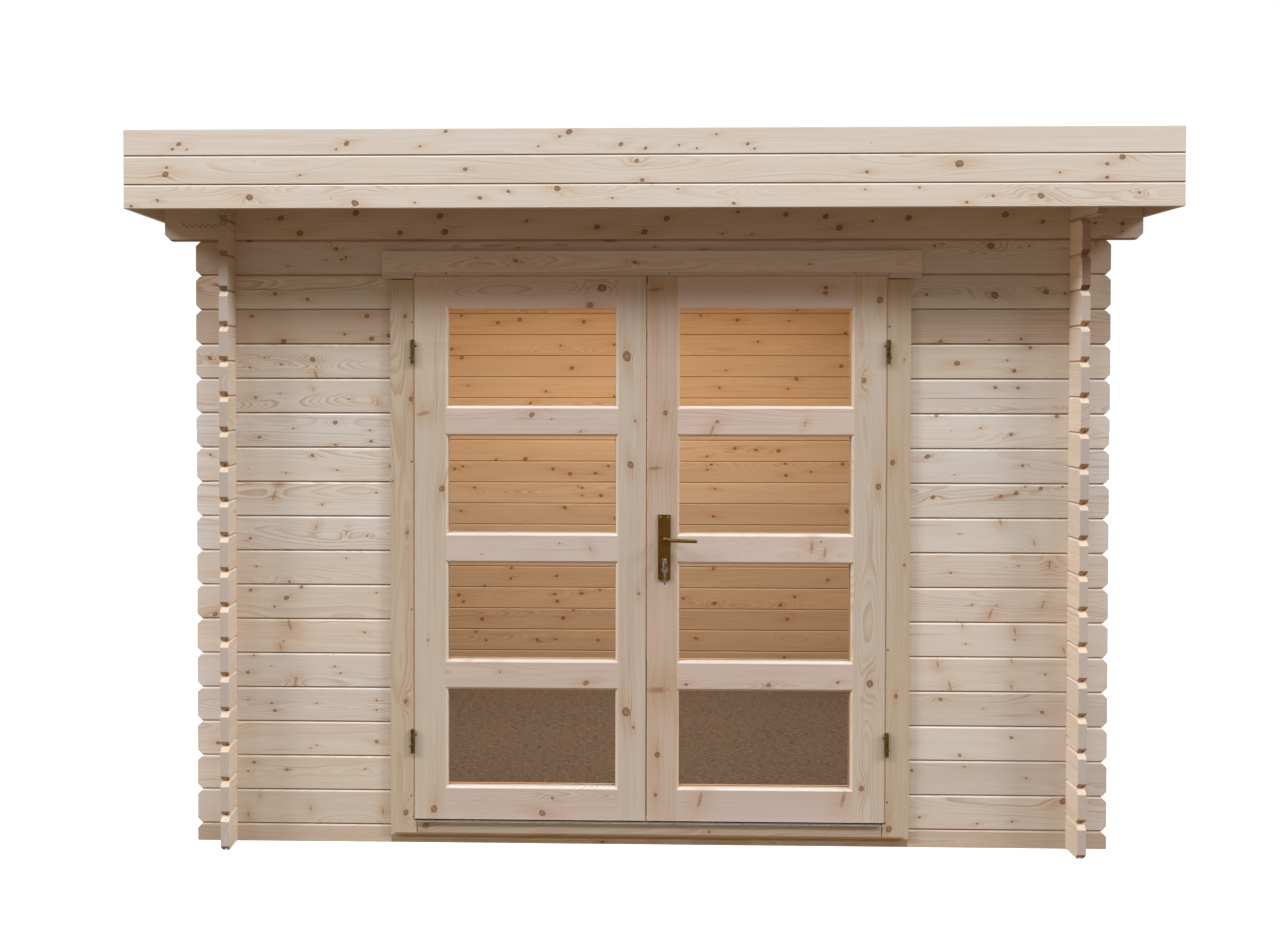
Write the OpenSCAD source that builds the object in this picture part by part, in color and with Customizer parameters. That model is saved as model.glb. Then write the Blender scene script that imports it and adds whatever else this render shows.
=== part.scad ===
// Flat roof garden house of notched spruce logs, with a pair of glazed doors.
// Millimetres. +Z is up, the door side faces -Y, and the origin lies on the
// ground at the middle of the plan, between the four walls.

/* [Logs] */
// Cover height of one log
log_h = 114; // [111:0.5:115]
// Thickness of a log
log_t = 28; // [26:1:30]
// Width of the small bevel along each edge of a log
seam_c = 5; // [3:0.5:6]
// Size of the chamfer on a log's projecting end
end_c = 17; // [12:1:20]

/* [Plan] */
// Outer face to outer face of two opposite walls
wall_out = 2790; // [2750:10:2830]
// Length that a wall log runs on past the corner
over = 105; // [90:1:120]
// Half length of the two long logs that carry the roof's side overhang
beam_half = 1603; // [1560:1:1603]
// Chamfer under the ends of the long logs
beam_c = 21; // [15:1:25]

/* [Doorway] */
// Half width of the opening cut in the logs
door_cut = 806; // [800:1:812]
// Half width between the two jambs
jamb_in = 776.5; // [776:0.5:778]
// Thickness of the boards that trim the doorway
trim_t = 18; // [16:1:18]
// Outer edge of the upright casings, from the middle
casing_out = 851; // [845:1:860]
// Underside of the casings and of the threshold board
casing_z0 = 38.5; // [30:0.5:40]
// Top of the metal strip on the threshold
plate_top = 79; // [78:0.5:79]
// Distance that the strip's nose stands in front of the threshold board
nose = 12; // [8:1:14]
// Underside of the header board
header_z0 = 1869; // [1864:1:1872]
// Top of the header board
header_z1 = 1959.5; // [1945:0.5:1963]
// Half length of the header board
header_half = 882; // [870:1:890]
// Sideways offset of the header board
header_dx = 3; // [0:1:8]

/* [Leaves] */
// Thickness of a leaf
leaf_t = 40; // [38:1:40]
// Outer edge of a closed leaf, from the middle
leaf_x1 = 771.5; // [770:0.5:771.5]
// Half of the gap between the closed leaves
leaf_x0 = 2.5; // [2.5:0.5:4]
// Sideways place of the line where the leaves meet
meet_dx = -8; // [-10:1:0]
// Underside of a leaf
leaf_z0 = 84; // [84:1:86]
// Top of a leaf
leaf_z1 = 1876; // [1864:1:1877]
// Set-back of the meeting edge at the leaf's inner face
edge_slope = 2.5; // [2:0.5:4]
// Width of the stile on the hinge side
stile_h = 102.5; // [90:0.5:115]
// Width of the meeting stile of the left leaf
stile_ml = 90; // [85:1:100]
// Width of the meeting stile of the right leaf, which holds the lock
stile_mr = 97.5; // [95:0.5:110]
// Top of the bottom rail
pane_z0 = 187; // [175:1:190]
// Height of one pane opening at the leaf's face
pane_h = 335; // [325:1:336]
// Height of a middle rail
rail_h = 83.7; // [80:0.1:86]
// Bevel around a pane
pane_c = 8; // [6:0.5:9]
// Depth of the glass behind the leaf's face
glass_d = 24; // [20:1:26]
// Thickness of the glass
glass_t = 4; // [3:0.5:4]

/* [Hinges] */
// Radius of a hinge barrel
barrel_r = 7; // [6:0.5:7]
// Middle heights of the lower and the upper hinge
hinge_z = [344, 1629]; // [300:1:1700]
// Sideways place of the hinge axes, from the middle
hinge_x = 777; // [776:0.5:778]

/* [Lock] */
// Sideways place of the lever's axis
lock_x = 50; // [48:0.5:54]
// Height of the lever's axis
lever_z = 1021; // [1010:1:1030]
// Height of the lock cylinder
cyl_z = 947; // [940:1:950]
// Width of the long plates
plate_w = 41; // [38:1:42]
// Top of the long plates
plate_z1 = 1095.5; // [1090:0.5:1100]
// Height of the long plates
plate_h = 214; // [205:1:216]
// Length of the lever, from its axis to its tip
lever_l = 105; // [98:1:110]

/* [Roof] */
// Outer face of the front fascia, in front of the wall's face
fascia_y = 256; // [250:1:260]
// Outer face of the left fascia, from the middle
fascia_xl = 1650; // [1640:1:1655]
// Outer face of the right fascia, from the middle
fascia_xr = 1622; // [1621:1:1640]
// Thickness of the fascia boards
fascia_t = 18; // [16:1:18]
// Underside of the fascias
fascia_z0 = 2070.5; // [2070:0.5:2080]
// Joint between the lowest and the middle fascia board
fascia_z1 = 2143.5; // [2141:0.5:2152]
// Joint between the middle and the highest fascia board
fascia_z2 = 2233; // [2230:0.5:2243]
// Top of the fascias
fascia_z3 = 2316.5; // [2312:0.5:2325]
// Bevel along the joints of the fascia boards
fascia_c = 4; // [3:0.5:5]
// Rear face of the board under the rear eaves
eaves_y = 1612; // [1605:1:1615]
// Height of the board under the rear eaves
eaves_h = 95; // [90:1:110]
// Fall of the roof from the front wall to the rear wall
fall = 114; // [80:1:114]
// Thickness of the roof boards
deck_t = 18; // [16:1:19]
// Thickness of the roofing felt
felt_t = 3; // [2:0.5:4]
// Width of a purlin
purlin_w = 45; // [40:1:50]
// Height of a purlin
purlin_h = 70; // [60:1:75]
// Distance of the outer two purlins from the middle one
purlin_y = 700; // [600:10:720]

/* [Floor] */
// Thickness of the floor sheet
floor_t = 8; // [6:1:10]

/* [Hidden] */
$fn = 48;

half = wall_out / 2;               // outer face of a wall
inner = half - log_t;              // inner face of a wall
mid = half - log_t / 2;            // middle of a wall
log_end = half + over;             // projecting end of a log
half_log = log_h / 2;
q = log_h / 4;                     // depth of one notch
front_n = 16;                      // logs beside the doorway
door_top = half_log + front_n * log_h;      // 1881
beam_z = door_top + log_h;                  // 1995
side_top = 18 * log_h;                      // 2052
roof_front = beam_z + 2 * log_h;            // 2223
slope = fall / wall_out;
front_y = -half - fascia_y + fascia_t;      // inner face of the front fascia
rear_y = eaves_y - fascia_t;
deck_xl = -(fascia_xl - fascia_t);
deck_xr = fascia_xr - fascia_t;
leaf_y0 = -half - trim_t + 1;      // face of a closed leaf
leaf_y1 = leaf_y0 + leaf_t;
head_z0 = leaf_z1 + 4;
head_z1 = head_z0 + 28;
plate_y = 7;                       // thickness of a lock plate
axis_y = -half - trim_t - barrel_r - 1;

// Underside of the roof boards at a distance y from the middle
function roof_z(y) = roof_front + (-half - y) * slope;

// One face of a stack of n logs, going up, with bevelled edges
function stack_up(z0, n, t, c) = [
    for (i = [0 : n - 1]) for (p = [[t / 2 - c, 0], [t / 2, c], [t / 2, log_h - c]])
        [p[0], z0 + i * log_h + p[1]]];
function flip(pts) = [for (i = [len(pts) - 1 : -1 : 0]) [-pts[i][0], pts[i][1]]];

// Cross-section of n logs from z0 up
module stack_section(z0, n, t = log_t, c = seam_c) {
    up = concat(stack_up(z0, n, t, c), [[t / 2 - c, z0 + n * log_h]]);
    polygon(concat(up, flip(up)));
}
// Cross-section of one board or half log between two heights
module board_section(z0, z1, t, c0, c1) {
    up = [[t / 2 - c0, z0], [t / 2, z0 + c0], [t / 2, z1 - c1], [t / 2 - c1, z1]];
    polygon(concat(up, flip(up)));
}
// Zigzag of n chamfered log ends, going up
function ends_up(x, z0, n, c) = [
    for (i = [0 : n - 1]) for (p = [[-c, 0], [0, c], [0, log_h - c], [-c, log_h]])
        [x + p[0], z0 + i * log_h + p[1]]];

// Outline with chamfered ends on both sides
module ends_outline(x, z0, n, c = end_c) {
    r = ends_up(x, z0, n, c);
    polygon(concat(r, flip(r)));
}
// Lays a section out along X (section x becomes Y)
module along_x(x0, x1) { translate([x0, 0, 0]) rotate([90, 0, 90]) linear_extrude(x1 - x0) children(); }
// Lays a section out along Y (section x becomes X)
module along_y(y0, y1) { translate([0, y1, 0]) rotate([90, 0, 0]) linear_extrude(y1 - y0) children(); }
// Stands an outline in the X-Z plane, through y0 to y1
module plate_xz(y0, y1) { translate([0, y1, 0]) rotate([90, 0, 0]) linear_extrude(y1 - y0) children(); }
// Stands an outline in the Y-Z plane, through x0 to x1
module plate_yz(x0, x1) { translate([x0, 0, 0]) rotate([90, 0, 90]) linear_extrude(x1 - x0) children(); }
// Row of square notches at both corners, centred on the seams
module corner_notches(first, count) {
    for (s = [-1, 1]) for (i = [0 : count - 1])
        translate([s * mid - log_t / 2, first + i * log_h - q]) square([log_t, 2 * q]);
}

// ---- front wall ---------------------------------------------------------

module front_sill_log() color("burlywood") difference() {
    intersection() {
        translate([0, -mid, 0]) along_x(-log_end, log_end) board_section(0, half_log, log_t, 0.5, seam_c);
        plate_xz(-half - 1, -inner + 1) difference() {
            polygon([[-log_end, 0], [log_end, 0], [log_end, half_log - end_c],
                     [log_end - end_c, half_log], [-log_end + end_c, half_log],
                     [-log_end, half_log - end_c]]);
            corner_notches(half_log, 1);
        }
    }
    translate([-763, -half - 1, casing_z0]) cube([1526, log_t + 2, 60]);
}

module front_stack(x0, x1) {
    intersection() {
        translate([0, -mid, 0]) along_x(-log_end - 1, log_end + 1) stack_section(half_log, front_n);
        plate_xz(-half - 1, -inner + 1) difference() {
            ends_outline(log_end, half_log, front_n);
            corner_notches(half_log, front_n + 1);
        }
        translate([x0, -half - 2, 0]) cube([x1 - x0, log_t + 4, 2400]);
    }
}
module front_wall_left() color("burlywood") front_stack(-log_end - 2, -door_cut);
module front_wall_right() color("burlywood") front_stack(door_cut, log_end + 2);

module front_wall_head() color("burlywood") difference() {
    intersection() {
        translate([0, -mid, 0]) along_x(-log_end - 1, log_end + 1) stack_section(door_top, 1);
        plate_xz(-half - 1, -inner + 1) difference() {
            ends_outline(log_end, door_top, 1);
            corner_notches(door_top, 2);
        }
    }
    translate([-door_cut, -half - 1, door_top - 1]) cube([2 * door_cut, log_t + 2, head_z1 - door_top + 1]);
}

// Long log that runs on under the side overhang, chamfered below its ends
module long_log(z0, z1, y, c, low_c, high_c) {
    intersection() {
        translate([0, y, 0]) along_x(-beam_half, beam_half) board_section(z0, z1, log_t, low_c, high_c);
        plate_xz(y - 20, y + 20) difference() {
            polygon([[-beam_half + c, z0], [beam_half - c, z0], [beam_half, z0 + c], [beam_half, z1],
                     [-beam_half, z1], [-beam_half, z0 + c]]);
            corner_notches(z0, 2);
        }
    }
}
module front_beam_lower() color("burlywood") long_log(beam_z, beam_z + log_h, -mid, beam_c, seam_c, seam_c);
module front_beam_upper() color("burlywood") difference() {
    long_log(beam_z + log_h, roof_front - 1.3, -mid, 0.5, seam_c, 0.5);
    // the notch above the upper crossing is taken by the side wall's top
    for (s = [-1, 1]) translate([s * mid - log_t / 2, -half - 1, roof_front - q]) cube([log_t, log_t + 2, 2 * q]);
}

// ---- side walls ---------------------------------------------------------

module side_stack() {
    difference() {
        intersection() {
            along_y(-log_end - 1, log_end + 1) stack_section(0, 18);
            plate_yz(-log_t, log_t) difference() {
                ends_outline(log_end, 0, 18);
                corner_notches(0, 19);
            }
        }
        // groove under the lowest log, as on every log
        along_y(-log_end - 1, log_end + 1) polygon([[-5.5, -1], [5.5, -1], [3.5, 6.5], [-3.5, 6.5]]);
    }
}
module left_wall() color("wheat") translate([-mid, 0, 0]) side_stack();
module right_wall() color("wheat") translate([mid, 0, 0]) side_stack();

// Last log and the tapered board above it; y_low is where the log's front end stands
module side_top_piece(y_low) {
    bevels = [[9, side_top], [14, side_top + seam_c], [14, side_top + log_h - seam_c], [9, side_top + log_h],
              [14, side_top + log_h + seam_c], [14, 2400]];
    top_c = y_low > front_y ? end_c : 0.01;
    intersection() {
        along_y(front_y - 1, rear_y + 1) polygon(concat(bevels, flip(bevels)));
        plate_yz(-log_t, log_t) difference() {
            intersection() {
                polygon([[front_y - 1, side_top - 1], [rear_y + 1, side_top - 1],
                         [rear_y + 1, roof_z(rear_y + 1) - 0.02], [front_y - 1, roof_z(front_y - 1) - 0.02]]);
                union() {
                    polygon([[y_low + end_c, side_top], [rear_y - end_c, side_top], [rear_y, side_top + end_c],
                             [rear_y, side_top + log_h], [y_low + top_c, side_top + log_h],
                             [y_low, side_top + log_h - top_c], [y_low, side_top + end_c]]);
                    translate([front_y, side_top + log_h]) square([rear_y - front_y, log_h]);
                }
            }
            corner_notches(side_top, 1);
            translate([-half, beam_z + log_h + q]) square([log_t, 2 * q]);
            for (y = [-purlin_y, 0, purlin_y])
                translate([y - purlin_w / 2, roof_z(y + purlin_w / 2) - purlin_h]) square([purlin_w, purlin_h + 10]);
        }
    }
}
module left_wall_top() color("wheat") translate([-mid, 0, 0]) side_top_piece(-log_end);
module right_wall_top() color("wheat") translate([mid, 0, 0]) side_top_piece(front_y);

// ---- back wall ----------------------------------------------------------

module back_wall() color("burlywood") intersection() {
    union() {
        translate([0, mid, 0]) along_x(-log_end - 1, log_end + 1) stack_section(half_log, 17);
        translate([0, mid, 0]) along_x(-log_end - 1, log_end + 1) board_section(0, half_log, log_t, 0.5, seam_c);
    }
    plate_xz(inner - 1, half + 1) difference() {
        union() {
            ends_outline(log_end, half_log, 17);
            polygon([[-log_end, 0], [log_end, 0], [log_end, half_log - end_c],
                     [log_end - end_c, half_log], [-log_end + end_c, half_log],
                     [-log_end, half_log - end_c]]);
        }
        corner_notches(half_log, 18);
    }
}
module back_beam() color("burlywood") long_log(beam_z, beam_z + log_h, mid, beam_c, seam_c, 0.5);

// ---- roof ---------------------------------------------------------------

module purlins() color("tan") for (y = [-purlin_y, 0, purlin_y])
    translate([-beam_half, y - purlin_w / 2, roof_z(y + purlin_w / 2) - purlin_h]) cube([2 * beam_half, purlin_w, purlin_h - 0.02]);

module roof_slab(lift, t, y1) {
    along_x(deck_xl, deck_xr) polygon([[front_y, roof_z(front_y) + lift], [y1, roof_z(y1) + lift],
        [y1, roof_z(y1) + lift + t], [front_y, roof_z(front_y) + lift + t]]);
}
module roof_deck() color("tan") roof_slab(0, deck_t, rear_y);
module roof_felt() color("dimgray") roof_slab(deck_t + 0.02, felt_t - 0.02, eaves_y);

// Three boards of a fascia in section, with the bevelled side towards -x
module fascia_section() {
    c = fascia_c;
    t = fascia_t;
    polygon([[t, fascia_z0], [t, fascia_z3], [1, fascia_z3], [0, fascia_z3 - 1],
             [0, fascia_z2 + c], [c, fascia_z2], [0, fascia_z2 - c],
             [0, fascia_z1 + c], [c, fascia_z1], [0, fascia_z1 - c],
             [0, fascia_z0 + 1], [1, fascia_z0]]);
}
module fascia_front() color("antiquewhite")
    translate([0, -half - fascia_y, 0]) along_x(-fascia_xl, fascia_xr) fascia_section();
module fascia_left() color("antiquewhite")
    translate([-fascia_xl, 0, 0]) along_y(front_y, eaves_y) fascia_section();
module fascia_right() color("antiquewhite")
    translate([fascia_xr, 0, 0]) along_y(front_y, eaves_y) mirror([1, 0]) fascia_section();
module eaves_board() color("antiquewhite")
    translate([deck_xl, rear_y, roof_z(eaves_y) + deck_t - eaves_h]) cube([deck_xr - deck_xl, fascia_t, eaves_h]);

// ---- floor --------------------------------------------------------------

module floor_sheet() color("rosybrown")
    translate([-inner + 1, -inner + 1, 0]) cube([2 * inner - 2, 2 * inner - 2, floor_t]);

// ---- doorway ------------------------------------------------------------

module door_jambs() color("wheat") for (s = [-1, 1])
    translate([s > 0 ? jamb_in : -door_cut, -half, half_log]) cube([door_cut - jamb_in, log_t, head_z0 - half_log]);

module door_head() color("wheat")
    translate([-door_cut, -half, head_z0]) cube([2 * door_cut, log_t, head_z1 - head_z0]);

module threshold() color("wheat")
    translate([-763, -half - trim_t, casing_z0]) cube([1526, log_t + 2 * trim_t, plate_top - 2 - casing_z0]);

// Flat strip on the threshold, with its nose in front of the board
module threshold_plate() color("silver")
    along_x(-763, 763) polygon([[-half - trim_t - nose, plate_top - 1.5], [-half - trim_t - nose + 0.5, plate_top - 2],
        [-inner, plate_top - 2], [-inner, plate_top], [-half - trim_t - nose + 0.5, plate_top],
        [-half - trim_t - nose, plate_top - 0.5]]);

// Outer casings, each bored for the studs of two hinges
module door_casings() color("burlywood") for (s = [-1, 1]) difference() {
    scale([s, 1, 1]) plate_xz(-half - trim_t, -half)
        polygon([[766, casing_z0], [casing_out, casing_z0], [casing_out, header_z0 - 4],
            [jamb_in, header_z0 - 4], [jamb_in, 78], [766, 78]]);
    for (z = hinge_z) translate([s * hinge_x, axis_y, z - 39]) frame_stud(s, 3.55, 32.2);
}

module door_header() color("burlywood") plate_xz(-half - trim_t, -half)
    polygon([[header_dx - header_half, header_z0], [-jamb_in, header_z0], [-jamb_in, head_z0], [jamb_in, head_z0],
             [jamb_in, header_z0], [header_dx + header_half, header_z0], [header_dx + header_half, header_z1],
             [header_dx - header_half, header_z1]]);

module inner_casings() color("burlywood") for (s = [-1, 1])
    translate([s > 0 ? 765 : -casing_out, -inner, casing_z0]) cube([casing_out - 765, trim_t, 1856 - casing_z0]);

module inner_header() color("burlywood")
    translate([-casing_out, -inner, 1857]) cube([2 * casing_out, trim_t, 83]);

// Studs that are screwed into the casings and into the leaves
module frame_stud(s, r, l) translate([0, 0, 19]) rotate([0, 0, s > 0 ? 45 : 135]) rotate([0, 90, 0]) cylinder(r = r, h = l);
module leaf_stud(s, r, l) translate([0, 0, 19]) rotate([0, 0, s > 0 ? 135 : 45]) rotate([0, 90, 0]) cylinder(r = r, h = l);

// Lower half of each hinge: barrel, pivot and stud
module frame_hinges() color("olive") for (s = [-1, 1]) for (z = hinge_z)
    translate([s * hinge_x, axis_y, z - 39]) {
        cylinder(r = barrel_r, h = 38);
        cylinder(r = 3.5, h = 68);
        frame_stud(s, 3.5, 32);
    }

// Upper half of each hinge, which turns with its leaf
module leaf_hinges(s) for (z = hinge_z)
    translate([s * hinge_x, axis_y, z + 1]) {
        difference() {
            union() {
                cylinder(r = barrel_r, h = 38);
                leaf_stud(s, 3.5, 34);
            }
            translate([0, 0, -1]) cylinder(r = 3.58, h = 32);
        }
    }

// ---- leaves -------------------------------------------------------------

pane_base = [for (i = [0 : 3]) pane_z0 + i * (pane_h + rail_h)];

// Cut for one pane: bevelled at the face, straight to the glass, wider behind it
module pane_cut(x0, x1, z0) {
    z1 = z0 + pane_h;
    c = pane_c;
    d = glass_d;
    intersection() {
        translate([0, 0, z0 - 5]) linear_extrude(pane_h + 10)
            polygon([[x0 - 1, leaf_y0 - 1], [x1 + 1, leaf_y0 - 1], [x1 - c, leaf_y0 + c], [x1 - c, leaf_y0 + d],
                     [x1, leaf_y0 + d], [x1, leaf_y1 + 1], [x0, leaf_y1 + 1], [x0, leaf_y0 + d],
                     [x0 + c, leaf_y0 + d], [x0 + c, leaf_y0 + c]]);
        along_x(x0 - 5, x1 + 5)
            polygon([[leaf_y0 - 1, z0 - 1], [leaf_y0 - 1, z1 + 1], [leaf_y0 + c, z1 - c], [leaf_y0 + d, z1 - c],
                     [leaf_y0 + d, z1], [leaf_y1 + 1, z1], [leaf_y1 + 1, z0], [leaf_y0 + d, z0],
                     [leaf_y0 + d, z0 + c], [leaf_y0 + c, z0 + c]]);
    }
}
// The meeting edge (at x0) slopes back, so that it swings clear of the other leaf
module leaf_frame(x0, x1, p0, p1) difference() {
    translate([0, 0, leaf_z0]) linear_extrude(leaf_z1 - leaf_z0)
        polygon([[x0, leaf_y0], [x1, leaf_y0], [x1, leaf_y1], [x0 + edge_slope * sign(x1 - x0), leaf_y1]]);
    for (z = pane_base) pane_cut(min(p0, p1), max(p0, p1), z);
    for (z = hinge_z) translate([sign(x1) * hinge_x, axis_y, z + 1]) leaf_stud(sign(x1), 3.55, 34.2);
}
module leaf_glass(p0, p1) for (z = pane_base)
    translate([p0 + 1, leaf_y0 + glass_d, z + 1]) cube([p1 - p0 - 2, glass_t, pane_h - 2]);

module leaf_beads(p0, p1) for (z = pane_base) difference() {
    translate([p0, leaf_y0 + glass_d + glass_t, z]) cube([p1 - p0, leaf_t - glass_d - glass_t, pane_h]);
    translate([p0 + 10, leaf_y0, z + 10]) cube([p1 - p0 - 20, leaf_t + 10, pane_h - 20]);
}

left_p0 = -leaf_x1 + stile_h;
left_p1 = meet_dx - leaf_x0 - stile_ml;
right_p0 = meet_dx + leaf_x0 + stile_mr;
right_p1 = leaf_x1 - stile_h;

module left_leaf_frame() color("wheat") leaf_frame(meet_dx - leaf_x0, -leaf_x1, left_p0, left_p1);
module left_leaf_glass() color("lightblue", 0.4) leaf_glass(left_p0, left_p1);
module left_leaf_beads() color("wheat") leaf_beads(left_p0, left_p1);
module left_leaf_hinges() color("olive") leaf_hinges(-1);

module right_leaf_frame() color("wheat") difference() {
    leaf_frame(meet_dx + leaf_x0, leaf_x1, right_p0, right_p1);
    translate([lock_x, leaf_y0 - 1, lever_z]) rotate([-90, 0, 0]) cylinder(r = 11, h = leaf_t + 2);
    cylinder_shape(1.5, leaf_y0 - 1, leaf_y1 + 1);
}
module right_leaf_glass() color("lightblue", 0.4) leaf_glass(right_p0, right_p1);
module right_leaf_beads() color("wheat") leaf_beads(right_p0, right_p1);
module right_leaf_hinges() color("olive") leaf_hinges(1);

// ---- lock ---------------------------------------------------------------

// Profile cylinder: a round barrel with a narrower web below it
module cylinder_shape(grow, y0, y1) {
    translate([lock_x, y0, cyl_z]) rotate([-90, 0, 0]) cylinder(r = 8.5 + grow, h = y1 - y0);
    translate([lock_x - 5 - grow, y0, cyl_z - 24.5 - grow]) cube([10 + 2 * grow, y1 - y0, 24.5 + grow]);
}
// Long plate with rounded corners
module lock_plate(y0) difference() {
    plate_xz(y0, y0 + plate_y) translate([lock_x - plate_w / 2, plate_z1 - plate_h]) {
        translate([3, 0]) square([plate_w - 6, plate_h]);
        translate([0, 3]) square([plate_w, plate_h - 6]);
        for (x = [3, plate_w - 3]) for (z = [3, plate_h - 3]) translate([x, z]) circle(r = 3, $fn = 24);
    }
    translate([lock_x, y0 - 1, lever_z]) rotate([-90, 0, 0]) cylinder(r = 9.6, h = plate_y + 2);
    cylinder_shape(0.3, y0 - 1, y0 + plate_y + 1);
}
module lock_plate_outside() color("saddlebrown") lock_plate(leaf_y0 - plate_y);
module lock_plate_inside() color("saddlebrown") lock_plate(leaf_y1);
module lock_cylinder() color("silver") difference() {
    cylinder_shape(0, leaf_y0 - plate_y - 2, leaf_y1 + plate_y + 2);
    // slot that the key's blade goes into
    translate([lock_x - 1.4, leaf_y0 - plate_y - 3, cyl_z - 4.5]) cube([2.8, 30, 9]);
}

// One key, lying in the X-Z plane with its blade down, bow centred on the origin
module flat_key(hole_z) {
    plate_xz(-1.1, 1.1) difference() {
        union() {
            circle(r = 11.5);
            translate([-4.2, -46]) square([8.4, 38]);
            translate([-4.2, -50]) polygon([[1.5, 0], [5, 0], [8.4, 4], [0, 4]]);
        }
        translate([0, hole_z]) circle(r = 3.6, $fn = 32);
    }
}
ring_y = leaf_y0 - plate_y - 22;
module keys() color("silver") {
    // the key in the lock, its bow upright and seen edge on
    difference() {
        union() {
            translate([lock_x, ring_y, cyl_z]) rotate([0, 90, 0]) translate([0, 0, -1.1]) cylinder(r = 11.5, h = 2.2);
            translate([lock_x - 1.1, ring_y + 8, cyl_z - 4.2]) cube([2.2, 34, 8.4]);
        }
        translate([lock_x - 5, ring_y - 4, cyl_z - 4]) rotate([0, 90, 0]) cylinder(r = 3.6, h = 10, $fn = 32);
    }
    // ring through both bows
    translate([lock_x, ring_y - 4, cyl_z - 12.5]) rotate([90, 0, 0]) rotate_extrude($fn = 64) translate([8.5, 0]) circle(r = 0.9, $fn = 16);
    // second key, hanging on the ring in front of the plate
    translate([lock_x, ring_y - 7.3, cyl_z - 27.5]) flat_key(6.5);
}

// Lever handles on both sides, joined by their square spindle
module lever_half(y0, dir) {
    // dir -1 stands out towards -Y
    translate([lock_x, y0, lever_z]) rotate([dir * 90, 0, 0]) translate([0, 0, -plate_y]) {
        cylinder(r = 9.5, h = plate_y + 12);
        cylinder(r = 6.5, h = plate_y + 36);
    }
}
module lever_bar(y0, dir) {
    yc = y0 + dir * 40;
    hull() {
        translate([lock_x, yc, lever_z]) sphere(r = 6.8, $fn = 32);
        translate([lock_x + 22, yc + dir * 2, lever_z - 5]) sphere(r = 6.3, $fn = 32);
    }
    hull() {
        translate([lock_x + 22, yc + dir * 2, lever_z - 5]) sphere(r = 6.3, $fn = 32);
        translate([lock_x + lever_l - 6, yc + dir * 2, lever_z - 7]) sphere(r = 6, $fn = 32);
    }
}
module lever_handles() color("peru") union() {
    translate([lock_x, leaf_y0 - plate_y - 1, lever_z]) rotate([-90, 0, 0])
        translate([-4, -4, 0]) cube([8, 8, leaf_t + 2 * plate_y + 2]);
    lever_half(leaf_y0 - plate_y, 1);
    lever_bar(leaf_y0 - plate_y, -1);
    lever_half(leaf_y1 + plate_y, -1);
    lever_bar(leaf_y1 + plate_y, 1);
}

front_sill_log();
front_wall_left();
front_wall_right();
front_wall_head();
front_beam_lower();
front_beam_upper();
left_wall();
right_wall();
left_wall_top();
right_wall_top();
back_wall();
back_beam();
purlins();
roof_deck();
roof_felt();
fascia_front();
fascia_left();
fascia_right();
eaves_board();
floor_sheet();
door_jambs();
door_head();
threshold();
threshold_plate();
door_casings();
door_header();
inner_casings();
inner_header();
frame_hinges();
left_leaf_frame();
left_leaf_glass();
left_leaf_beads();
left_leaf_hinges();
right_leaf_frame();
right_leaf_glass();
right_leaf_beads();
right_leaf_hinges();
lock_plate_outside();
lock_plate_inside();
lock_cylinder();
keys();
lever_handles();
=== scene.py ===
import math
import random

import bmesh
import bpy
import numpy as np
from mathutils import Matrix, Vector


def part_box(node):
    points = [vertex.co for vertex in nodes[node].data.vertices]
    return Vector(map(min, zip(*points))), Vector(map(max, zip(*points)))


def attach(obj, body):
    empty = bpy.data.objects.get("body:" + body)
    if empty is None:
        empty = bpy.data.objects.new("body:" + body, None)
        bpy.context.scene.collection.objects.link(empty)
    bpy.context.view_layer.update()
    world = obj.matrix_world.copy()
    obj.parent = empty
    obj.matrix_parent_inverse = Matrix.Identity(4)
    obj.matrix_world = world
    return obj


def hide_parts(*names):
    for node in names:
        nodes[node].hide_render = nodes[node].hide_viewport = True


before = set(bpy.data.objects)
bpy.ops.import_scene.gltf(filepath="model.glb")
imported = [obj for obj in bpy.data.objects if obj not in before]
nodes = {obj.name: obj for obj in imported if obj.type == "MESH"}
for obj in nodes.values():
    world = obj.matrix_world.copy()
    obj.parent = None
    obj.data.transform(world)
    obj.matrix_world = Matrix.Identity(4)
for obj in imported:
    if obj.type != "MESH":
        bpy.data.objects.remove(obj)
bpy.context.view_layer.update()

scene = bpy.context.scene
root = scene.collection


# ------------------------------------------------------------------ camera --
def make_camera():
    f_px, px, py = 1310.79, 549.69, 397.60
    yaw, pitch, roll = 0.026208, -0.018123, -0.000850
    m = (Matrix.Rotation(yaw, 3, "Z") @ Matrix.Rotation(pitch, 3, "X") @ Matrix.Rotation(roll, 3, "Y"))
    right, fwd, up = m.col[0], m.col[1], m.col[2]
    rot = Matrix((right, up, -fwd)).transposed()
    data = bpy.data.cameras.new("camera")
    data.sensor_width = 36.0
    data.sensor_fit = "HORIZONTAL"
    data.lens = 36.0 * f_px / 1280.0
    data.shift_x = (640.0 - px) / 1280.0
    data.shift_y = -(473.5 - py) / 1280.0
    data.clip_end = 200
    cam = bpy.data.objects.new("camera", data)
    cam.matrix_world = Matrix.Translation((-0.2136, -5.7128, 1.5567)) @ rot.to_4x4()
    root.objects.link(cam)
    scene.camera = cam


make_camera()


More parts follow.
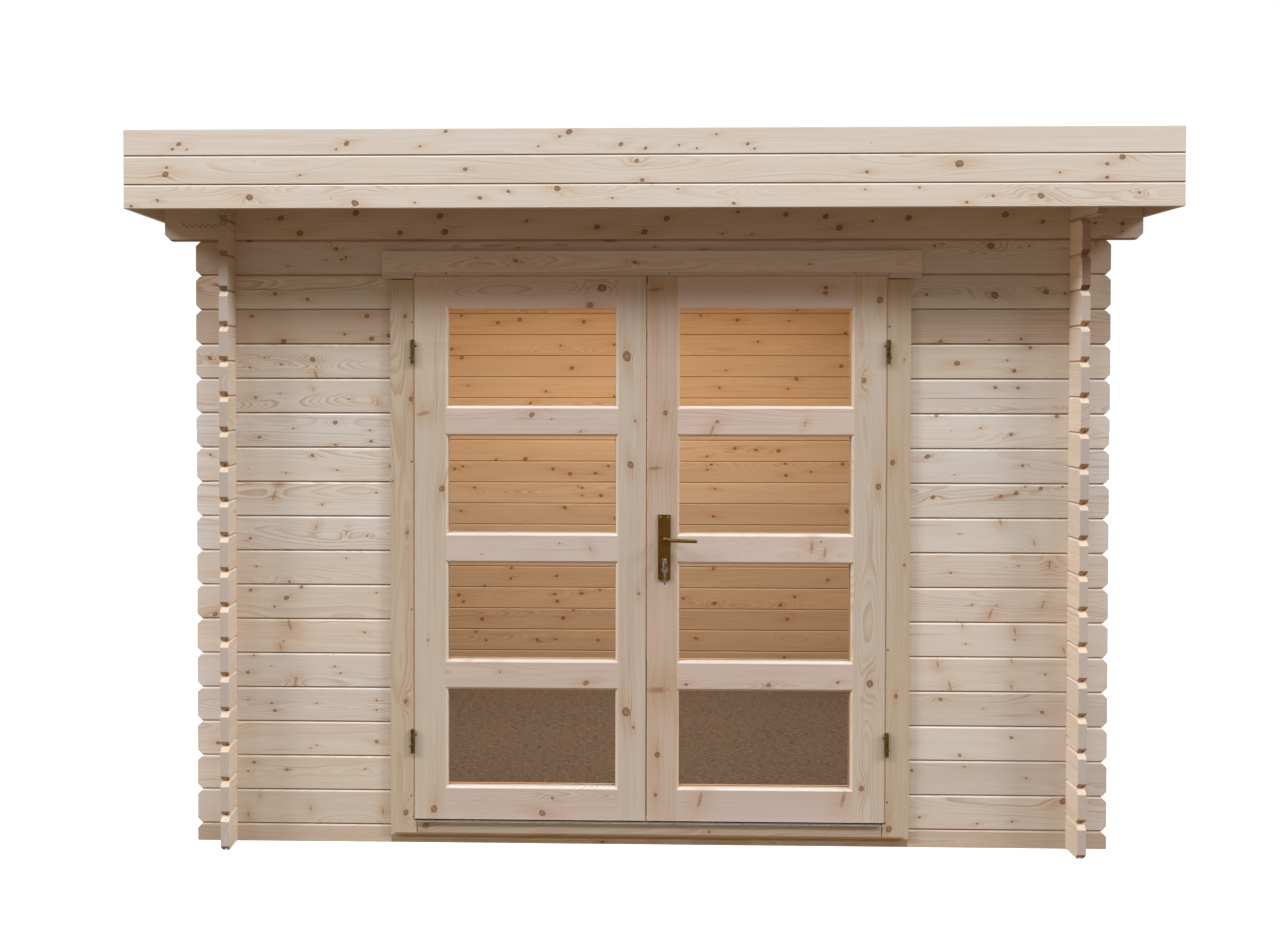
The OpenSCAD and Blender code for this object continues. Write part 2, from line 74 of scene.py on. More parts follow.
# ----------------------------------------------------------- node building --
class Tree:
    """Small helper that chains shader nodes of one material."""

    def __init__(self, name):
        self.mat = bpy.data.materials.new(name)
        self.mat.use_nodes = True
        self.nt = self.mat.node_tree
        self.nt.nodes.clear()
        self.out = self.nt.nodes.new("ShaderNodeOutputMaterial")

    def node(self, kind, **sockets):
        n = self.nt.nodes.new(kind)
        for key, v in sockets.items():
            self.put(n.inputs[key.replace("_", " ")], v)
        return n

    def put(self, socket, v):
        if isinstance(v, bpy.types.NodeSocket):
            self.nt.links.new(v, socket)
        elif v is not None:
            socket.default_value = v

    def m(self, op, a, b=None, c=None, clamp=False):
        n = self.nt.nodes.new("ShaderNodeMath")
        n.operation = op
        n.use_clamp = clamp
        for i, v in enumerate((a, b, c)):
            if v is not None:
                self.put(n.inputs[i], v)
        return n.outputs[0]

    def attr(self, name):
        n = self.nt.nodes.new("ShaderNodeAttribute")
        n.attribute_name = name
        return n

    def xyz(self, v):
        n = self.nt.nodes.new("ShaderNodeSeparateXYZ")
        self.put(n.inputs[0], v)
        return n.outputs

    def vec(self, x, y, z):
        n = self.nt.nodes.new("ShaderNodeCombineXYZ")
        for i, v in enumerate((x, y, z)):
            self.put(n.inputs[i], v)
        return n.outputs[0]

    def noise(self, vector=None, scale=1.0, detail=2.0, rough=0.5, w=None, dims="3D", distortion=0.0, color=False):
        n = self.nt.nodes.new("ShaderNodeTexNoise")
        n.noise_dimensions = dims
        if vector is not None:
            self.put(n.inputs["Vector"], vector)
        if w is not None:
            self.put(n.inputs["W"], w)
        n.inputs["Scale"].default_value = scale
        n.inputs["Detail"].default_value = detail
        n.inputs["Roughness"].default_value = rough
        n.inputs["Distortion"].default_value = distortion
        return n.outputs["Color"] if color else n.outputs["Fac"]

    def span(self, v, a, b, lo=0.0, hi=1.0, smooth=True):
        n = self.nt.nodes.new("ShaderNodeMapRange")
        n.interpolation_type = "SMOOTHSTEP" if smooth else "LINEAR"
        n.clamp = True
        self.put(n.inputs["Value"], v)
        for key, x in (("From Min", a), ("From Max", b), ("To Min", lo), ("To Max", hi)):
            self.put(n.inputs[key], x)
        return n.outputs[0]

    def mix(self, fac, a, b, blend="MIX"):
        n = self.nt.nodes.new("ShaderNodeMix")
        n.data_type = "RGBA"
        n.blend_type = blend
        self.put(n.inputs[0], fac)
        for i, v in ((6, a), (7, b)):
            self.put(n.inputs[i], (*v, 1.0) if isinstance(v, tuple) and len(v) == 3 else v)
        return n.outputs[2]

    def gain(self, color, fac):
        """Multiplies a colour by a number."""
        n = self.nt.nodes.new("ShaderNodeVectorMath")
        n.operation = "SCALE"
        self.put(n.inputs[0], color)
        self.put(n.inputs[3], fac)
        return n.outputs[0]

    def times(self, a, b):
        n = self.nt.nodes.new("ShaderNodeVectorMath")
        n.operation = "MULTIPLY"
        self.put(n.inputs[0], a)
        self.put(n.inputs[1], b)
        return n.outputs[0]

    def bump(self, height, distance, strength=1.0, normal=None):
        n = self.nt.nodes.new("ShaderNodeBump")
        n.inputs["Strength"].default_value = strength
        n.inputs["Distance"].default_value = distance
        self.put(n.inputs["Height"], height)
        if normal is not None:
            self.put(n.inputs["Normal"], normal)
        return n.outputs[0]

    def shade(self, color, rough, normal=None, metallic=0.0, specular=0.35, coat=0.0):
        n = self.nt.nodes.new("ShaderNodeBsdfPrincipled")
        self.put(n.inputs["Base Color"], (*color, 1.0) if isinstance(color, tuple) and len(color) == 3 else color)
        self.put(n.inputs["Roughness"], rough)
        n.inputs["Metallic"].default_value = metallic
        n.inputs["Specular IOR Level"].default_value = specular
        n.inputs["Coat Weight"].default_value = coat
        if normal is not None:
            self.put(n.inputs["Normal"], normal)
        self.nt.links.new(n.outputs[0], self.out.inputs[0])
        return n


def srgb(r, g, b):
    return tuple(((c / 255 + 0.055) / 1.055) ** 2.4 if c > 10.3 else c / 255 / 12.92 for c in (r, g, b))


N_KNOTS = 6


def wood_material(name, light, dark, warm, ring_gap=0.0030, ring_strength=0.55, rough=0.58, bump=0.00035, end_color=None,
                  saw=0.0, knot_dark=1.0, streaks=0.6, pins=0.8):
    """Softwood cut from a log: growth rings about a pith line, knots that bend the grain, fibres and end grain.

    The mesh carries what each board needs: gco = (along, across, through) in metres, seed, tint, endg and k1 to k6,
    each knot as (along, across, radius). A negative radius is a spike knot, which lies across the grain."""
    t = Tree(name)
    l, h, d = t.xyz(t.attr("gco").outputs["Vector"])
    seed = t.attr("seed").outputs["Fac"]
    r1 = t.m("FRACT", t.m("MULTIPLY", seed, 7.131))
    r2 = t.m("FRACT", t.m("MULTIPLY", seed, 13.717))
    r3 = t.m("FRACT", t.m("MULTIPLY", seed, 29.373))
    shift = t.m("MULTIPLY", seed, 41.7)

    def along(k, kh, off=0.0):
        return t.vec(t.m("MULTIPLY_ADD", l, k, t.m("ADD", shift, off)), t.m("MULTIPLY", h, kh), t.m("MULTIPLY", d, kh))

    # the pith line wanders along the board
    wa = t.noise(w=t.m("MULTIPLY_ADD", l, 0.9, shift), dims="1D", scale=1.0, detail=1.5)
    wb = t.noise(w=t.m("MULTIPLY_ADD", l, 1.3, t.m("ADD", shift, 31.3)), dims="1D", scale=1.0, detail=1.5)
    h0 = t.m("ADD", t.m("MULTIPLY_ADD", r1, 0.13, -0.065), t.m("MULTIPLY_ADD", wa, 0.10, -0.05))
    d0 = t.m("ADD", t.m("MULTIPLY_ADD", r2, 0.075, 0.018), t.m("MULTIPLY_ADD", wb, 0.05, -0.025))
    dh = t.m("SUBTRACT", h, h0)
    dd = t.m("SUBTRACT", d, d0)
    rad = t.m("SQRT", t.m("ADD", t.m("MULTIPLY", dh, dh), t.m("MULTIPLY", dd, dd)))
    wave = t.noise(along(3.2, 22.0), detail=2.0)
    rad = t.m("ADD", rad, t.m("MULTIPLY_ADD", wave, 0.008, -0.004))
    # knots
    ragged = t.noise(t.vec(t.m("MULTIPLY_ADD", l, 120.0, shift), t.m("MULTIPLY", h, 120.0), t.m("MULTIPLY", d, 40.0)), detail=2.0)
    tilt = t.m("MULTIPLY_ADD", r3, 0.7, -0.35)
    kd = sd = halo = None
    for i in range(N_KNOTS):
        kl, kh, kr0 = t.xyz(t.attr("k%d" % (i + 1)).outputs["Vector"])
        spike = t.m("LESS_THAN", kr0, 0.0)
        kr = t.m("MAXIMUM", t.m("ABSOLUTE", kr0), 0.0002)
        dl = t.m("SUBTRACT", l, kl)
        dz = t.m("SUBTRACT", h, kh)
        a = t.m("MULTIPLY", t.m("ADD", dl, t.m("MULTIPLY", dz, t.m("MULTIPLY", tilt, spike))), 0.86)
        b = t.m("MULTIPLY", t.m("ADD", dz, t.m("MULTIPLY", dl, t.m("MULTIPLY", tilt, 0.6))), t.m("MULTIPLY_ADD", spike, -0.76, 1.0))
        dist = t.m("SQRT", t.m("ADD", t.m("MULTIPLY", a, a), t.m("MULTIPLY", b, b)))
        rel = t.m("DIVIDE", dist, kr)
        flat = t.m("ADD", t.m("MULTIPLY", t.m("MULTIPLY", a, a), 0.13), t.m("MULTIPLY", b, b))
        q = t.m("DIVIDE", flat, t.m("MULTIPLY", t.m("MULTIPLY", kr, kr), 4.4))
        e = t.m("EXPONENT", t.m("MULTIPLY", q, -1.0))
        rad = t.m("ADD", rad, t.m("MULTIPLY", e, t.m("MULTIPLY", kr, 1.15)))
        rk = t.m("MULTIPLY_ADD", spike, 90.0, rel)
        rs = t.m("SUBTRACT", t.m("ADD", rel, 90.0), t.m("MULTIPLY", spike, 90.0))
        kd = rk if kd is None else t.m("MINIMUM", kd, rk)
        sd = rs if sd is None else t.m("MINIMUM", sd, rs)
        halo = e if halo is None else t.m("MAXIMUM", halo, e)
    kd = t.m("ADD", kd, t.m("MULTIPLY_ADD", ragged, 0.56, -0.28))
    sd = t.m("ADD", sd, t.m("MULTIPLY_ADD", ragged, 0.9, -0.45))
    # small pin knots from scattered points
    vor = t.nt.nodes.new("ShaderNodeTexVoronoi")
    vor.feature = "F1"
    vor.voronoi_dimensions = "2D"
    t.put(vor.inputs["Vector"], t.vec(t.m("MULTIPLY_ADD", l, 6.0, shift), t.m("MULTIPLY_ADD", h, 15.0, shift), 0.0))
    vor.inputs["Scale"].default_value = 1.0
    vc = t.xyz(vor.outputs["Color"])
    pin_r = t.span(vc[0], 0.80, 1.0, 0.0, 0.024, smooth=False)
    pin = t.m("DIVIDE", vor.outputs["Distance"], t.m("MAXIMUM", pin_r, 0.0001))
    # growth rings
    spread = t.noise(w=t.m("MULTIPLY_ADD", rad, 55.0, shift), dims="1D", scale=1.0, detail=1.0)
    phase = t.m("ADD", t.m("MULTIPLY", rad, t.m("MULTIPLY", 1.0 / ring_gap, t.m("MULTIPLY_ADD", r3, 0.7, 0.65))),
                t.m("MULTIPLY", spread, 3.0))
    f = t.m("FRACT", phase)
    late = t.m("MULTIPLY", t.span(f, 0.25, 0.86), t.span(f, 0.9, 1.0, 1.0, 0.0))
    which = t.nt.nodes.new("ShaderNodeTexWhiteNoise")
    which.noise_dimensions = "1D"
    t.put(which.inputs["W"], t.m("ADD", t.m("FLOOR", phase), seed))
    patch = t.noise(along(1.1, 9.0), detail=2.0)
    near = t.m("MULTIPLY_ADD", halo, 0.7, t.span(patch, 0.36, 0.66, 0.25, 1.0))
    strength = t.m("MULTIPLY", t.m("MULTIPLY_ADD", which.outputs["Value"], 0.75, 0.25),
                   t.m("MULTIPLY", near, t.m("MULTIPLY_ADD", r1, 0.6, 0.55)))
    late_s = t.m("MULTIPLY", t.m("MULTIPLY", late, strength), ring_strength, clamp=True)
    fibre = t.noise(along(9.0, 620.0), detail=3.0, rough=0.6)
    streak = t.noise(along(2.2, 85.0), detail=2.0)
    blotch = t.noise(along(2.6, 14.0, 5.0), detail=3.0)
    run = t.noise(along(1.5, 34.0, 9.0), detail=4.0, rough=0.6)
    col = t.mix(late_s, light, dark)
    col = t.mix(t.span(blotch, 0.42, 0.78, 0.0, 0.55), col, warm)
    col = t.mix(t.m("MULTIPLY", t.span(run, 0.60, 0.80), streaks), col, dark)
    value = t.m("ADD", t.m("MULTIPLY_ADD", fibre, 0.14, 0.93), t.m("MULTIPLY_ADD", streak, 0.14, -0.07))
    if saw:
        lines = t.noise(t.vec(t.m("MULTIPLY_ADD", l, 260.0, shift), t.m("MULTIPLY", h, 14.0), t.m("MULTIPLY", d, 14.0)), detail=1.0)
        value = t.m("ADD", value, t.m("MULTIPLY_ADD", lines, saw, -saw / 2))
    col = t.gain(col, value)
    # colours of the knots
    col = t.mix(t.m("MULTIPLY", halo, t.m("MULTIPLY_ADD", blotch, 0.7, 0.2)), col, t.times(col, (0.90, 0.78, 0.64)))
    k_in = t.mix(t.span(kd, 0.1, 0.9), srgb(172, 126, 94), srgb(136, 94, 66))
    k_in = t.mix(t.m("MULTIPLY", t.span(t.m("FRACT", t.m("MULTIPLY", kd, 3.1)), 0.5, 0.95), 0.5), k_in, srgb(98, 62, 42))
    knot = t.m("MULTIPLY", t.span(kd, 0.80, 1.16, 1.0, 0.0), t.m("MULTIPLY_ADD", ragged, 0.35 * knot_dark, 0.66 * knot_dark))
    col = t.mix(knot, col, k_in)
    rim = t.m("MULTIPLY", t.span(kd, 0.70, 0.98), t.span(kd, 1.0, 1.18, 1.0, 0.0))
    col = t.mix(t.m("MULTIPLY", t.m("MULTIPLY", rim, t.span(wave, 0.35, 0.6)), 0.55 * knot_dark), col, srgb(80, 50, 34))
    sp = t.m("MULTIPLY", t.span(sd, 0.3, 1.15, 1.0, 0.0), t.m("MULTIPLY_ADD", streak, 0.7, 0.28))
    col = t.mix(sp, col, srgb(158, 112, 76))
    pin_m = t.span(pin, 0.6, 1.3, 1.0, 0.0)
    col = t.mix(t.m("MULTIPLY", pin_m, pins * knot_dark), col, srgb(124, 82, 54))
    # end grain
    endg = t.attr("endg").outputs["Fac"]
    ec = end_color or srgb(206, 192, 182)
    cells = t.noise(t.vec(t.m("MULTIPLY", l, 40.0), t.m("MULTIPLY", h, 300.0), t.m("MULTIPLY", d, 300.0)), detail=3.0, rough=0.7)
    ec2 = t.mix(t.m("MULTIPLY", late, 0.45), t.gain(t.mix(0.0, ec, ec), t.m("MULTIPLY_ADD", cells, 0.5, 0.74)), srgb(160, 132, 112))
    col = t.mix(endg, col, ec2)
    col = t.times(col, t.attr("tint").outputs["Color"])
    rgh = t.m("ADD", rough, t.m("MULTIPLY_ADD", fibre, 0.18, -0.09))
    height = t.m("ADD", t.m("MULTIPLY", late_s, 0.8), t.m("MULTIPLY", fibre, 0.55))
    height = t.m("ADD", height, t.m("MULTIPLY", knot, -0.5))
    t.shade(col, rgh, t.bump(height, bump, 0.7), specular=0.28)
    return t.mat


# ------------------------------------------------------------- boards, bmesh --
BOARD_LAYERS = ("gco",) + tuple("k%d" % (i + 1) for i in range(N_KNOTS))


class Solid:
    """Collects boards into one mesh with the per-board values that the wood reads."""

    def __init__(self, name):
        self.name = name
        self.bm = bmesh.new()
        self.vec = {k: self.bm.loops.layers.float_vector.new(k) for k in BOARD_LAYERS}
        self.tint = self.bm.loops.layers.float_color.new("tint")
        self.seed = self.bm.faces.layers.float.new("seed")
        self.endg = self.bm.faces.layers.float.new("endg")

    def paint(self, faces, axis, centre, seed, tint=(1, 1, 1), knots=(), across=None, flip=1.0):
        """axis: grain direction 0..2; across: the axis of the board's width; centre: a point on the middle of its outer face."""
        across = (2 if axis != 2 else 0) if across is None else across
        through = 3 - axis - across
        ks = list(knots)[:N_KNOTS] + [(50.0, 50.0, 0.001)] * N_KNOTS
        for f in faces:
            f[self.seed] = seed
            f[self.endg] = 1.0 if abs(f.normal[axis]) > 0.55 else 0.0
            for lp in f.loops:
                co = lp.vert.co
                lp[self.vec["gco"]] = Vector((co[axis], co[across] - centre[across], (co[through] - centre[through]) * flip))
                lp[self.tint] = (*tint, 1.0)
                for i in range(N_KNOTS):
                    lp[self.vec["k%d" % (i + 1)]] = Vector(ks[i])

    def finish(self, body, mat, replaces=()):
        me = bpy.data.meshes.new(self.name)
        self.bm.to_mesh(me)
        self.bm.free()
        for one in (mat if isinstance(mat, tuple) else (mat,)):
            me.materials.append(one)
        return link(self.name, me, body, replaces)


def link(name, mesh, body, replaces=()):
    o = bpy.data.objects.new(name, mesh)
    root.objects.link(o)
    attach(o, body)
    if replaces:
        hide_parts(*replaces)
    return o


def soften(bm, width, faces=None, seg=2, angle=22):
    """Rounds the convex edges a little."""
    pool = bm.edges if faces is None else {e for f in faces for e in f.edges}
    es = [e for e in pool if len(e.link_faces) == 2 and e.is_convex and e.calc_face_angle(0) > math.radians(angle)]
    if es:
        bmesh.ops.bevel(bm, geom=es, offset=width, offset_type="OFFSET", segments=seg, profile=0.5, affect="EDGES", clamp_overlap=True)


def cad_mesh(solid, node, drop=None):
    """Brings a CAD node's faces into the solid's bmesh, merged and with flat areas joined."""
    bm = solid.bm
    bm.from_mesh(nodes[node].data)
    bmesh.ops.remove_doubles(bm, verts=bm.verts, dist=3e-5)
    bmesh.ops.dissolve_limit(bm, angle_limit=math.radians(0.6), verts=bm.verts, edges=bm.edges)
    bm.normal_update()


def prism(bm, pts, axis, a, b):
    """Closed prism of a 2-D outline between a and b along an axis. Outline axes: X->(y,z), Y->(x,z), Z->(x,y)."""
    def at(p, s):
        return {0: (s, p[0], p[1]), 1: (p[0], s, p[1]), 2: (p[0], p[1], s)}[axis]
    lo = [bm.verts.new(at(p, a)) for p in pts]
    hi = [bm.verts.new(at(p, b)) for p in pts]
    fs = [bm.faces.new(lo), bm.faces.new(hi)]
    for i in range(len(pts)):
        j = (i + 1) % len(pts)
        fs.append(bm.faces.new((lo[i], lo[j], hi[j], hi[i])))
    bmesh.ops.recalc_face_normals(bm, faces=fs)
    return fs


def new_board(solid, pts, axis, a, b, soft=0.0008, seg=2):
    """A separate board with softened edges; returns its faces."""
    tmp = bmesh.new()
    prism(tmp, pts, axis, a, b)
    soften(tmp, soft, seg=seg)
    me = bpy.data.meshes.new("tmp")
    tmp.to_mesh(me)
    tmp.free()
    before = set(solid.bm.faces)
    solid.bm.from_mesh(me)
    bpy.data.meshes.remove(me)
    solid.bm.normal_update()
    return [f for f in solid.bm.faces if f not in before]


def box_pts(x0, x1, y0, y1):
    return [(x0, y0), (x1, y0), (x1, y1), (x0, y1)]


def rand_knots(rng, a, b, half, n=4, rmin=0.004, rmax=0.011):
    """Knots along a board, spaced by whorls."""
    out = []
    step = (b - a) / max(n, 1)
    for i in range(n):
        out.append((a + step * (i + rng.uniform(0.1, 0.9)), rng.uniform(-half, half), rng.uniform(rmin, rmax) * rng.choice((0.6, 0.8, 1.0))))
    return out


def chunk_knots(knots):
    """Splits a long list of knots at its widest gaps; returns [(from, to, knots)] along the board."""
    ks = sorted(knots)
    parts = [ks]
    while max(len(q) for q in parts) > N_KNOTS:
        big = max(parts, key=len)
        i = parts.index(big)
        lo_n, hi_n = max(1, len(big) - 2 * N_KNOTS), min(len(big) - 1, 2 * N_KNOTS)
        cut = max(range(lo_n, hi_n + 1), key=lambda j: (big[j][0] - big[j - 1][0]) * (1.0 if N_KNOTS >= max(j, len(big) - j) else 0.6))
        parts[i:i + 1] = [big[:cut], big[cut:]]
    ends = [-99.0] + [(parts[i][-1][0] + parts[i + 1][0][0]) / 2 for i in range(len(parts) - 1)] + [99.0]
    return [(ends[i], ends[i + 1], parts[i]) for i in range(len(parts))]


def cut_mesh(bm, axis, places):
    n = Vector((0, 0, 0))
    n[axis] = 1
    for x in places:
        bmesh.ops.bisect_plane(bm, geom=bm.verts[:] + bm.edges[:] + bm.faces[:], plane_co=n * x, plane_no=n)
    bm.normal_update()


def retint(solid, faces, fn):
    """Multiplies the tint of each face by fn(centre, normal), where that gives three numbers."""
    for f in faces:
        m = fn(f.calc_center_median(), f.normal)
        if m:
            for lp in f.loops:
                c = lp[solid.tint]
                lp[solid.tint] = (c[0] * m[0], c[1] * m[1], c[2] * m[2], 1.0)


def rand_tint(rng, amount=0.06, warm=0.03):
    v = 1 + rng.uniform(-amount, amount)
    w = rng.uniform(-warm, warm)
    return (min(v * (1 + w * 0.4), 1.2), v, v * (1 - w))


# --------------------------------------------------------------- materials --
LOG = wood_material("log_wood", srgb(226, 210, 191), srgb(184, 134, 90), srgb(220, 197, 170), ring_strength=0.68, end_color=srgb(209, 193, 177))
DOOR = wood_material("planed_wood", srgb(213, 195, 172), srgb(180, 130, 84), srgb(206, 180, 150), ring_gap=0.0034,
                     ring_strength=0.82, rough=0.52, bump=0.00025, streaks=0.5, pins=0.3)
RAIL = wood_material("rail_wood", srgb(216, 195, 177), srgb(184, 134, 102), srgb(209, 183, 160), ring_gap=0.0034,
                     ring_strength=0.66, rough=0.52, bump=0.00025, streaks=0.4, pins=0.3)
FASCIA = wood_material("fascia_wood", srgb(241, 227, 208), srgb(208, 166, 122), srgb(236, 213, 184), ring_strength=0.62,
                       bump=0.00025, pins=0.5)
ROOFWOOD = wood_material("roof_wood", srgb(206, 178, 144), srgb(170, 128, 90), srgb(196, 160, 122), saw=0.08)


def metal(name, color, rough, spread=0.06, scale=60.0, bump=0.00004, metallic=1.0, dirt=None, brushed=None, coat=0.0):
    t = Tree(name)
    co = t.nt.nodes.new("ShaderNodeTexCoord").outputs["Object"]
    n1 = t.noise(co, scale=scale, detail=4.0, rough=0.6)
    stretch = t.times(co, brushed or (400.0, 400.0, 400.0))
    n2 = t.noise(stretch, scale=1.0, detail=2.0)
    col = t.gain(t.mix(t.span(n1, 0.35, 0.7), color, dirt or tuple(c * 0.8 for c in color)), t.m("MULTIPLY_ADD", n2, 0.16, 0.92))
    rgh = t.m("ADD", rough, t.m("MULTIPLY_ADD", n1, spread * 2, -spread))
    t.shade(col, rgh, t.bump(n2, bump, 0.6), metallic=metallic, specular=0.5, coat=coat)
    return t.mat


HINGE = metal("yellow_zinc", srgb(150, 132, 78), 0.36, dirt=srgb(96, 76, 44))
ALU = metal("mill_aluminium", srgb(192, 184, 172), 0.46, brushed=(6.0, 900.0, 900.0), dirt=srgb(160, 154, 147), metallic=0.8)
BRONZE = metal("bronze_plate", srgb(142, 104, 38), 0.40, scale=40.0, dirt=srgb(122, 88, 28), metallic=0.86)
BRONZE_LEVER = metal("bronze_lever", srgb(158, 124, 66), 0.3, scale=90.0, dirt=srgb(128, 95, 44), metallic=0.9)
KEYM = metal("nickel_key", srgb(214, 212, 206), 0.24, brushed=(900.0, 900.0, 60.0), dirt=srgb(176, 172, 166))
SCREW_BRONZE = metal("bronze_screw", srgb(236, 214, 164), 0.42, dirt=srgb(190, 160, 104))
SCREW = metal("zinc_screw", srgb(150, 158, 170), 0.38, dirt=srgb(110, 116, 126))


def glass_material():
    t = Tree("pane_glass")
    co = t.nt.nodes.new("ShaderNodeTexCoord").outputs["Object"]
    smear = t.noise(co, scale=2.2, detail=4.0, rough=0.6)
    see = t.nt.nodes.new("ShaderNodeBsdfTransparent")
    see.inputs[0].default_value = (0.965, 0.975, 0.97, 1)
    gl = t.nt.nodes.new("ShaderNodeBsdfGlossy")
    gl.inputs["Color"].default_value = (1, 1, 1, 1)
    t.put(gl.inputs["Roughness"], t.m("MULTIPLY", smear, 0.03))
    fr = t.nt.nodes.new("ShaderNodeFresnel")
    fr.inputs["IOR"].default_value = 1.33
    mixs = t.nt.nodes.new("ShaderNodeMixShader")
    t.put(mixs.inputs[0], fr.outputs[0])
    t.nt.links.new(see.outputs[0], mixs.inputs[1])
    t.nt.links.new(gl.outputs[0], mixs.inputs[2])
    t.nt.links.new(mixs.outputs[0], t.out.inputs[0])
    return t.mat


GLASS = glass_material()


def felt_material():
    t = Tree("mineral_felt")
    co = t.nt.nodes.new("ShaderNodeTexCoord").outputs["Object"]
    grit = t.nt.nodes.new("ShaderNodeTexVoronoi")
    grit.inputs["Scale"].default_value = 420.0
    t.put(grit.inputs["Vector"], co)
    g = t.xyz(grit.outputs["Color"])
    big = t.noise(co, scale=1.6, detail=5.0, rough=0.65)
    col = t.mix(g[0], srgb(52, 53, 55), srgb(112, 112, 114))
    col = t.mix(t.span(big, 0.45, 0.75, 0.0, 0.5), col, srgb(84, 82, 78))
    t.shade(col, 0.92, t.bump(g[1], 0.0012, 0.9), specular=0.2)
    return t.mat


FELT = felt_material()


def floor_material():
    t = Tree("flecked_floor")
    co = t.nt.nodes.new("ShaderNodeTexCoord").outputs["Object"]
    base = t.noise(co, scale=2.4, detail=4.0, rough=0.6)
    fine = t.noise(co, scale=260.0, detail=3.0, rough=0.7)
    stretched = t.times(co, (34.0, 110.0, 1.0))
    fleck = t.noise(stretched, scale=1.0, detail=3.0, rough=0.7)
    speck = t.noise(t.times(co, (60.0, 150.0, 1.0)), scale=1.0, detail=2.0)
    col = t.mix(base, srgb(124, 115, 112), srgb(106, 98, 94))
    col = t.mix(t.span(fleck, 0.56, 0.62, 0.0, 0.85), col, srgb(46, 34, 26))
    col = t.mix(t.span(speck, 0.62, 0.68, 0.0, 0.75), col, srgb(196, 172, 148))
    col = t.gain(col, t.m("MULTIPLY_ADD", fine, 0.4, 0.8))
    t.shade(col, 0.8, t.bump(t.m("ADD", fine, fleck), 0.0006, 0.6), specular=0.2)
    return t.mat


FLOOR = floor_material()

# ------------------------------------------------------------------- logs --
LH = 0.114
rng = random.Random(20)


def log_wall(node, z0, axis, centre, lo, hi, flip=1.0, **kw):
    s = Solid(node + "_logs")
    cad_mesh(s, node)
    soften(s.bm, 0.0009)
    knots, tints = kw.get("knots") or {}, kw.get("tints") or {}
    parts = {k: chunk_knots(v) for k, v in knots.items()}
    cut_mesh(s.bm, axis, list(kw.get("cuts", ())) + [q[0] for v in parts.values() for q in v[1:]])
    cut_mesh(s.bm, 2, kw.get("cuts_z", ()))
    groups = {}
    for f in s.bm.faces:
        c = f.calc_center_median()
        groups.setdefault(math.floor((c.z - z0) / LH), []).append(f)
    for k, fs in sorted(groups.items()):
        zc = z0 + (k + 0.5) * LH
        cc = [0.0, 0.0, zc]
        cc[1 - axis] = centre
        seed, tint = rng.uniform(0, 10), rand_tint(rng, kw.get("vary", 0.05))
        spare = rand_knots(rng, lo, hi, 0.045, 4)
        for a, b, ks in parts.get(k) or [(-99.0, 99.0, spare)]:
            some = [f for f in fs if a <= f.calc_center_median()[axis] < b]
            s.paint(some, axis, cc, seed, tints.get(k) or tint, ks, across=2, flip=flip)
    # the upper bevels of the logs get a painted highlight, the lower ones a painted shade
    retint(s, s.bm.faces, lambda c, n: (1.14, 1.15, 1.17) if 0.3 < n.z < 0.95 else (0.56, 0.52, 0.48) if -0.95 < n.z < -0.3 else None)
    # painted light at the ends that stand out: the lower bevels are lightened to brown rather than black, strongly
    # below 1.8 m, and the upper bevels get a warm painted highlight
    retint(s, s.bm.faces, lambda c, n: None if abs(c.y) < 1.47 or abs(n.y) < 0.3 else ((1.93, 1.58, 1.22) if c.z < 1.8 else (1.1, 0.98, 0.85)) if -0.95 < n.z < -0.3
           else (1.22, 1.12, 0.95) if 0.3 < n.z < 0.95 else None)
    for shade in kw.get("shade", ()):
        retint(s, s.bm.faces, shade)
    return s.finish("house", LOG, (node,))


OUT = 1.395
# knots of the front logs: log number -> (along, across, radius), negative for a spike knot
KNOTS_L = {
    10: [(-1.113, 0.032, 0.0046), (-1.454, 0.033, 0.004), (-0.852, -0.003, 0.006), (-1.031, -0.017, 0.003), (-1.201, -0.027, 0.0025)],
    11: [(-1.037, 0.027, 0.0062), (-1.29, -0.022, 0.005), (-1.177, 0.007, 0.003), (-0.922, 0.001, 0.0035), (-0.918, -0.035, 0.005), (-1.037, -0.047, 0.004)],
    12: [(-1.302, -0.005, 0.0045), (-0.897, -0.02, -0.003), (-1.111, 0.023, -0.0022), (-1.221, 0.009, 0.0022), (-0.991, -0.009, 0.0022)],
    13: [(-1.454, 0.012, 0.0065), (-1.112, 0.007, 0.0075), (-1.272, 0.014, 0.003), (-1.217, -0.008, 0.003), (-1.321, -0.019, 0.003), (-1.101, -0.044, -0.005)],
    14: [(-1.005, -0.023, 0.0042), (-0.916, -0.038, 0.007), (-0.858, -0.027, 0.0065), (-1.208, -0.047, 0.0075), (-1.314, 0.037, 0.005), (-0.931, 0.037, 0.0065)],
}
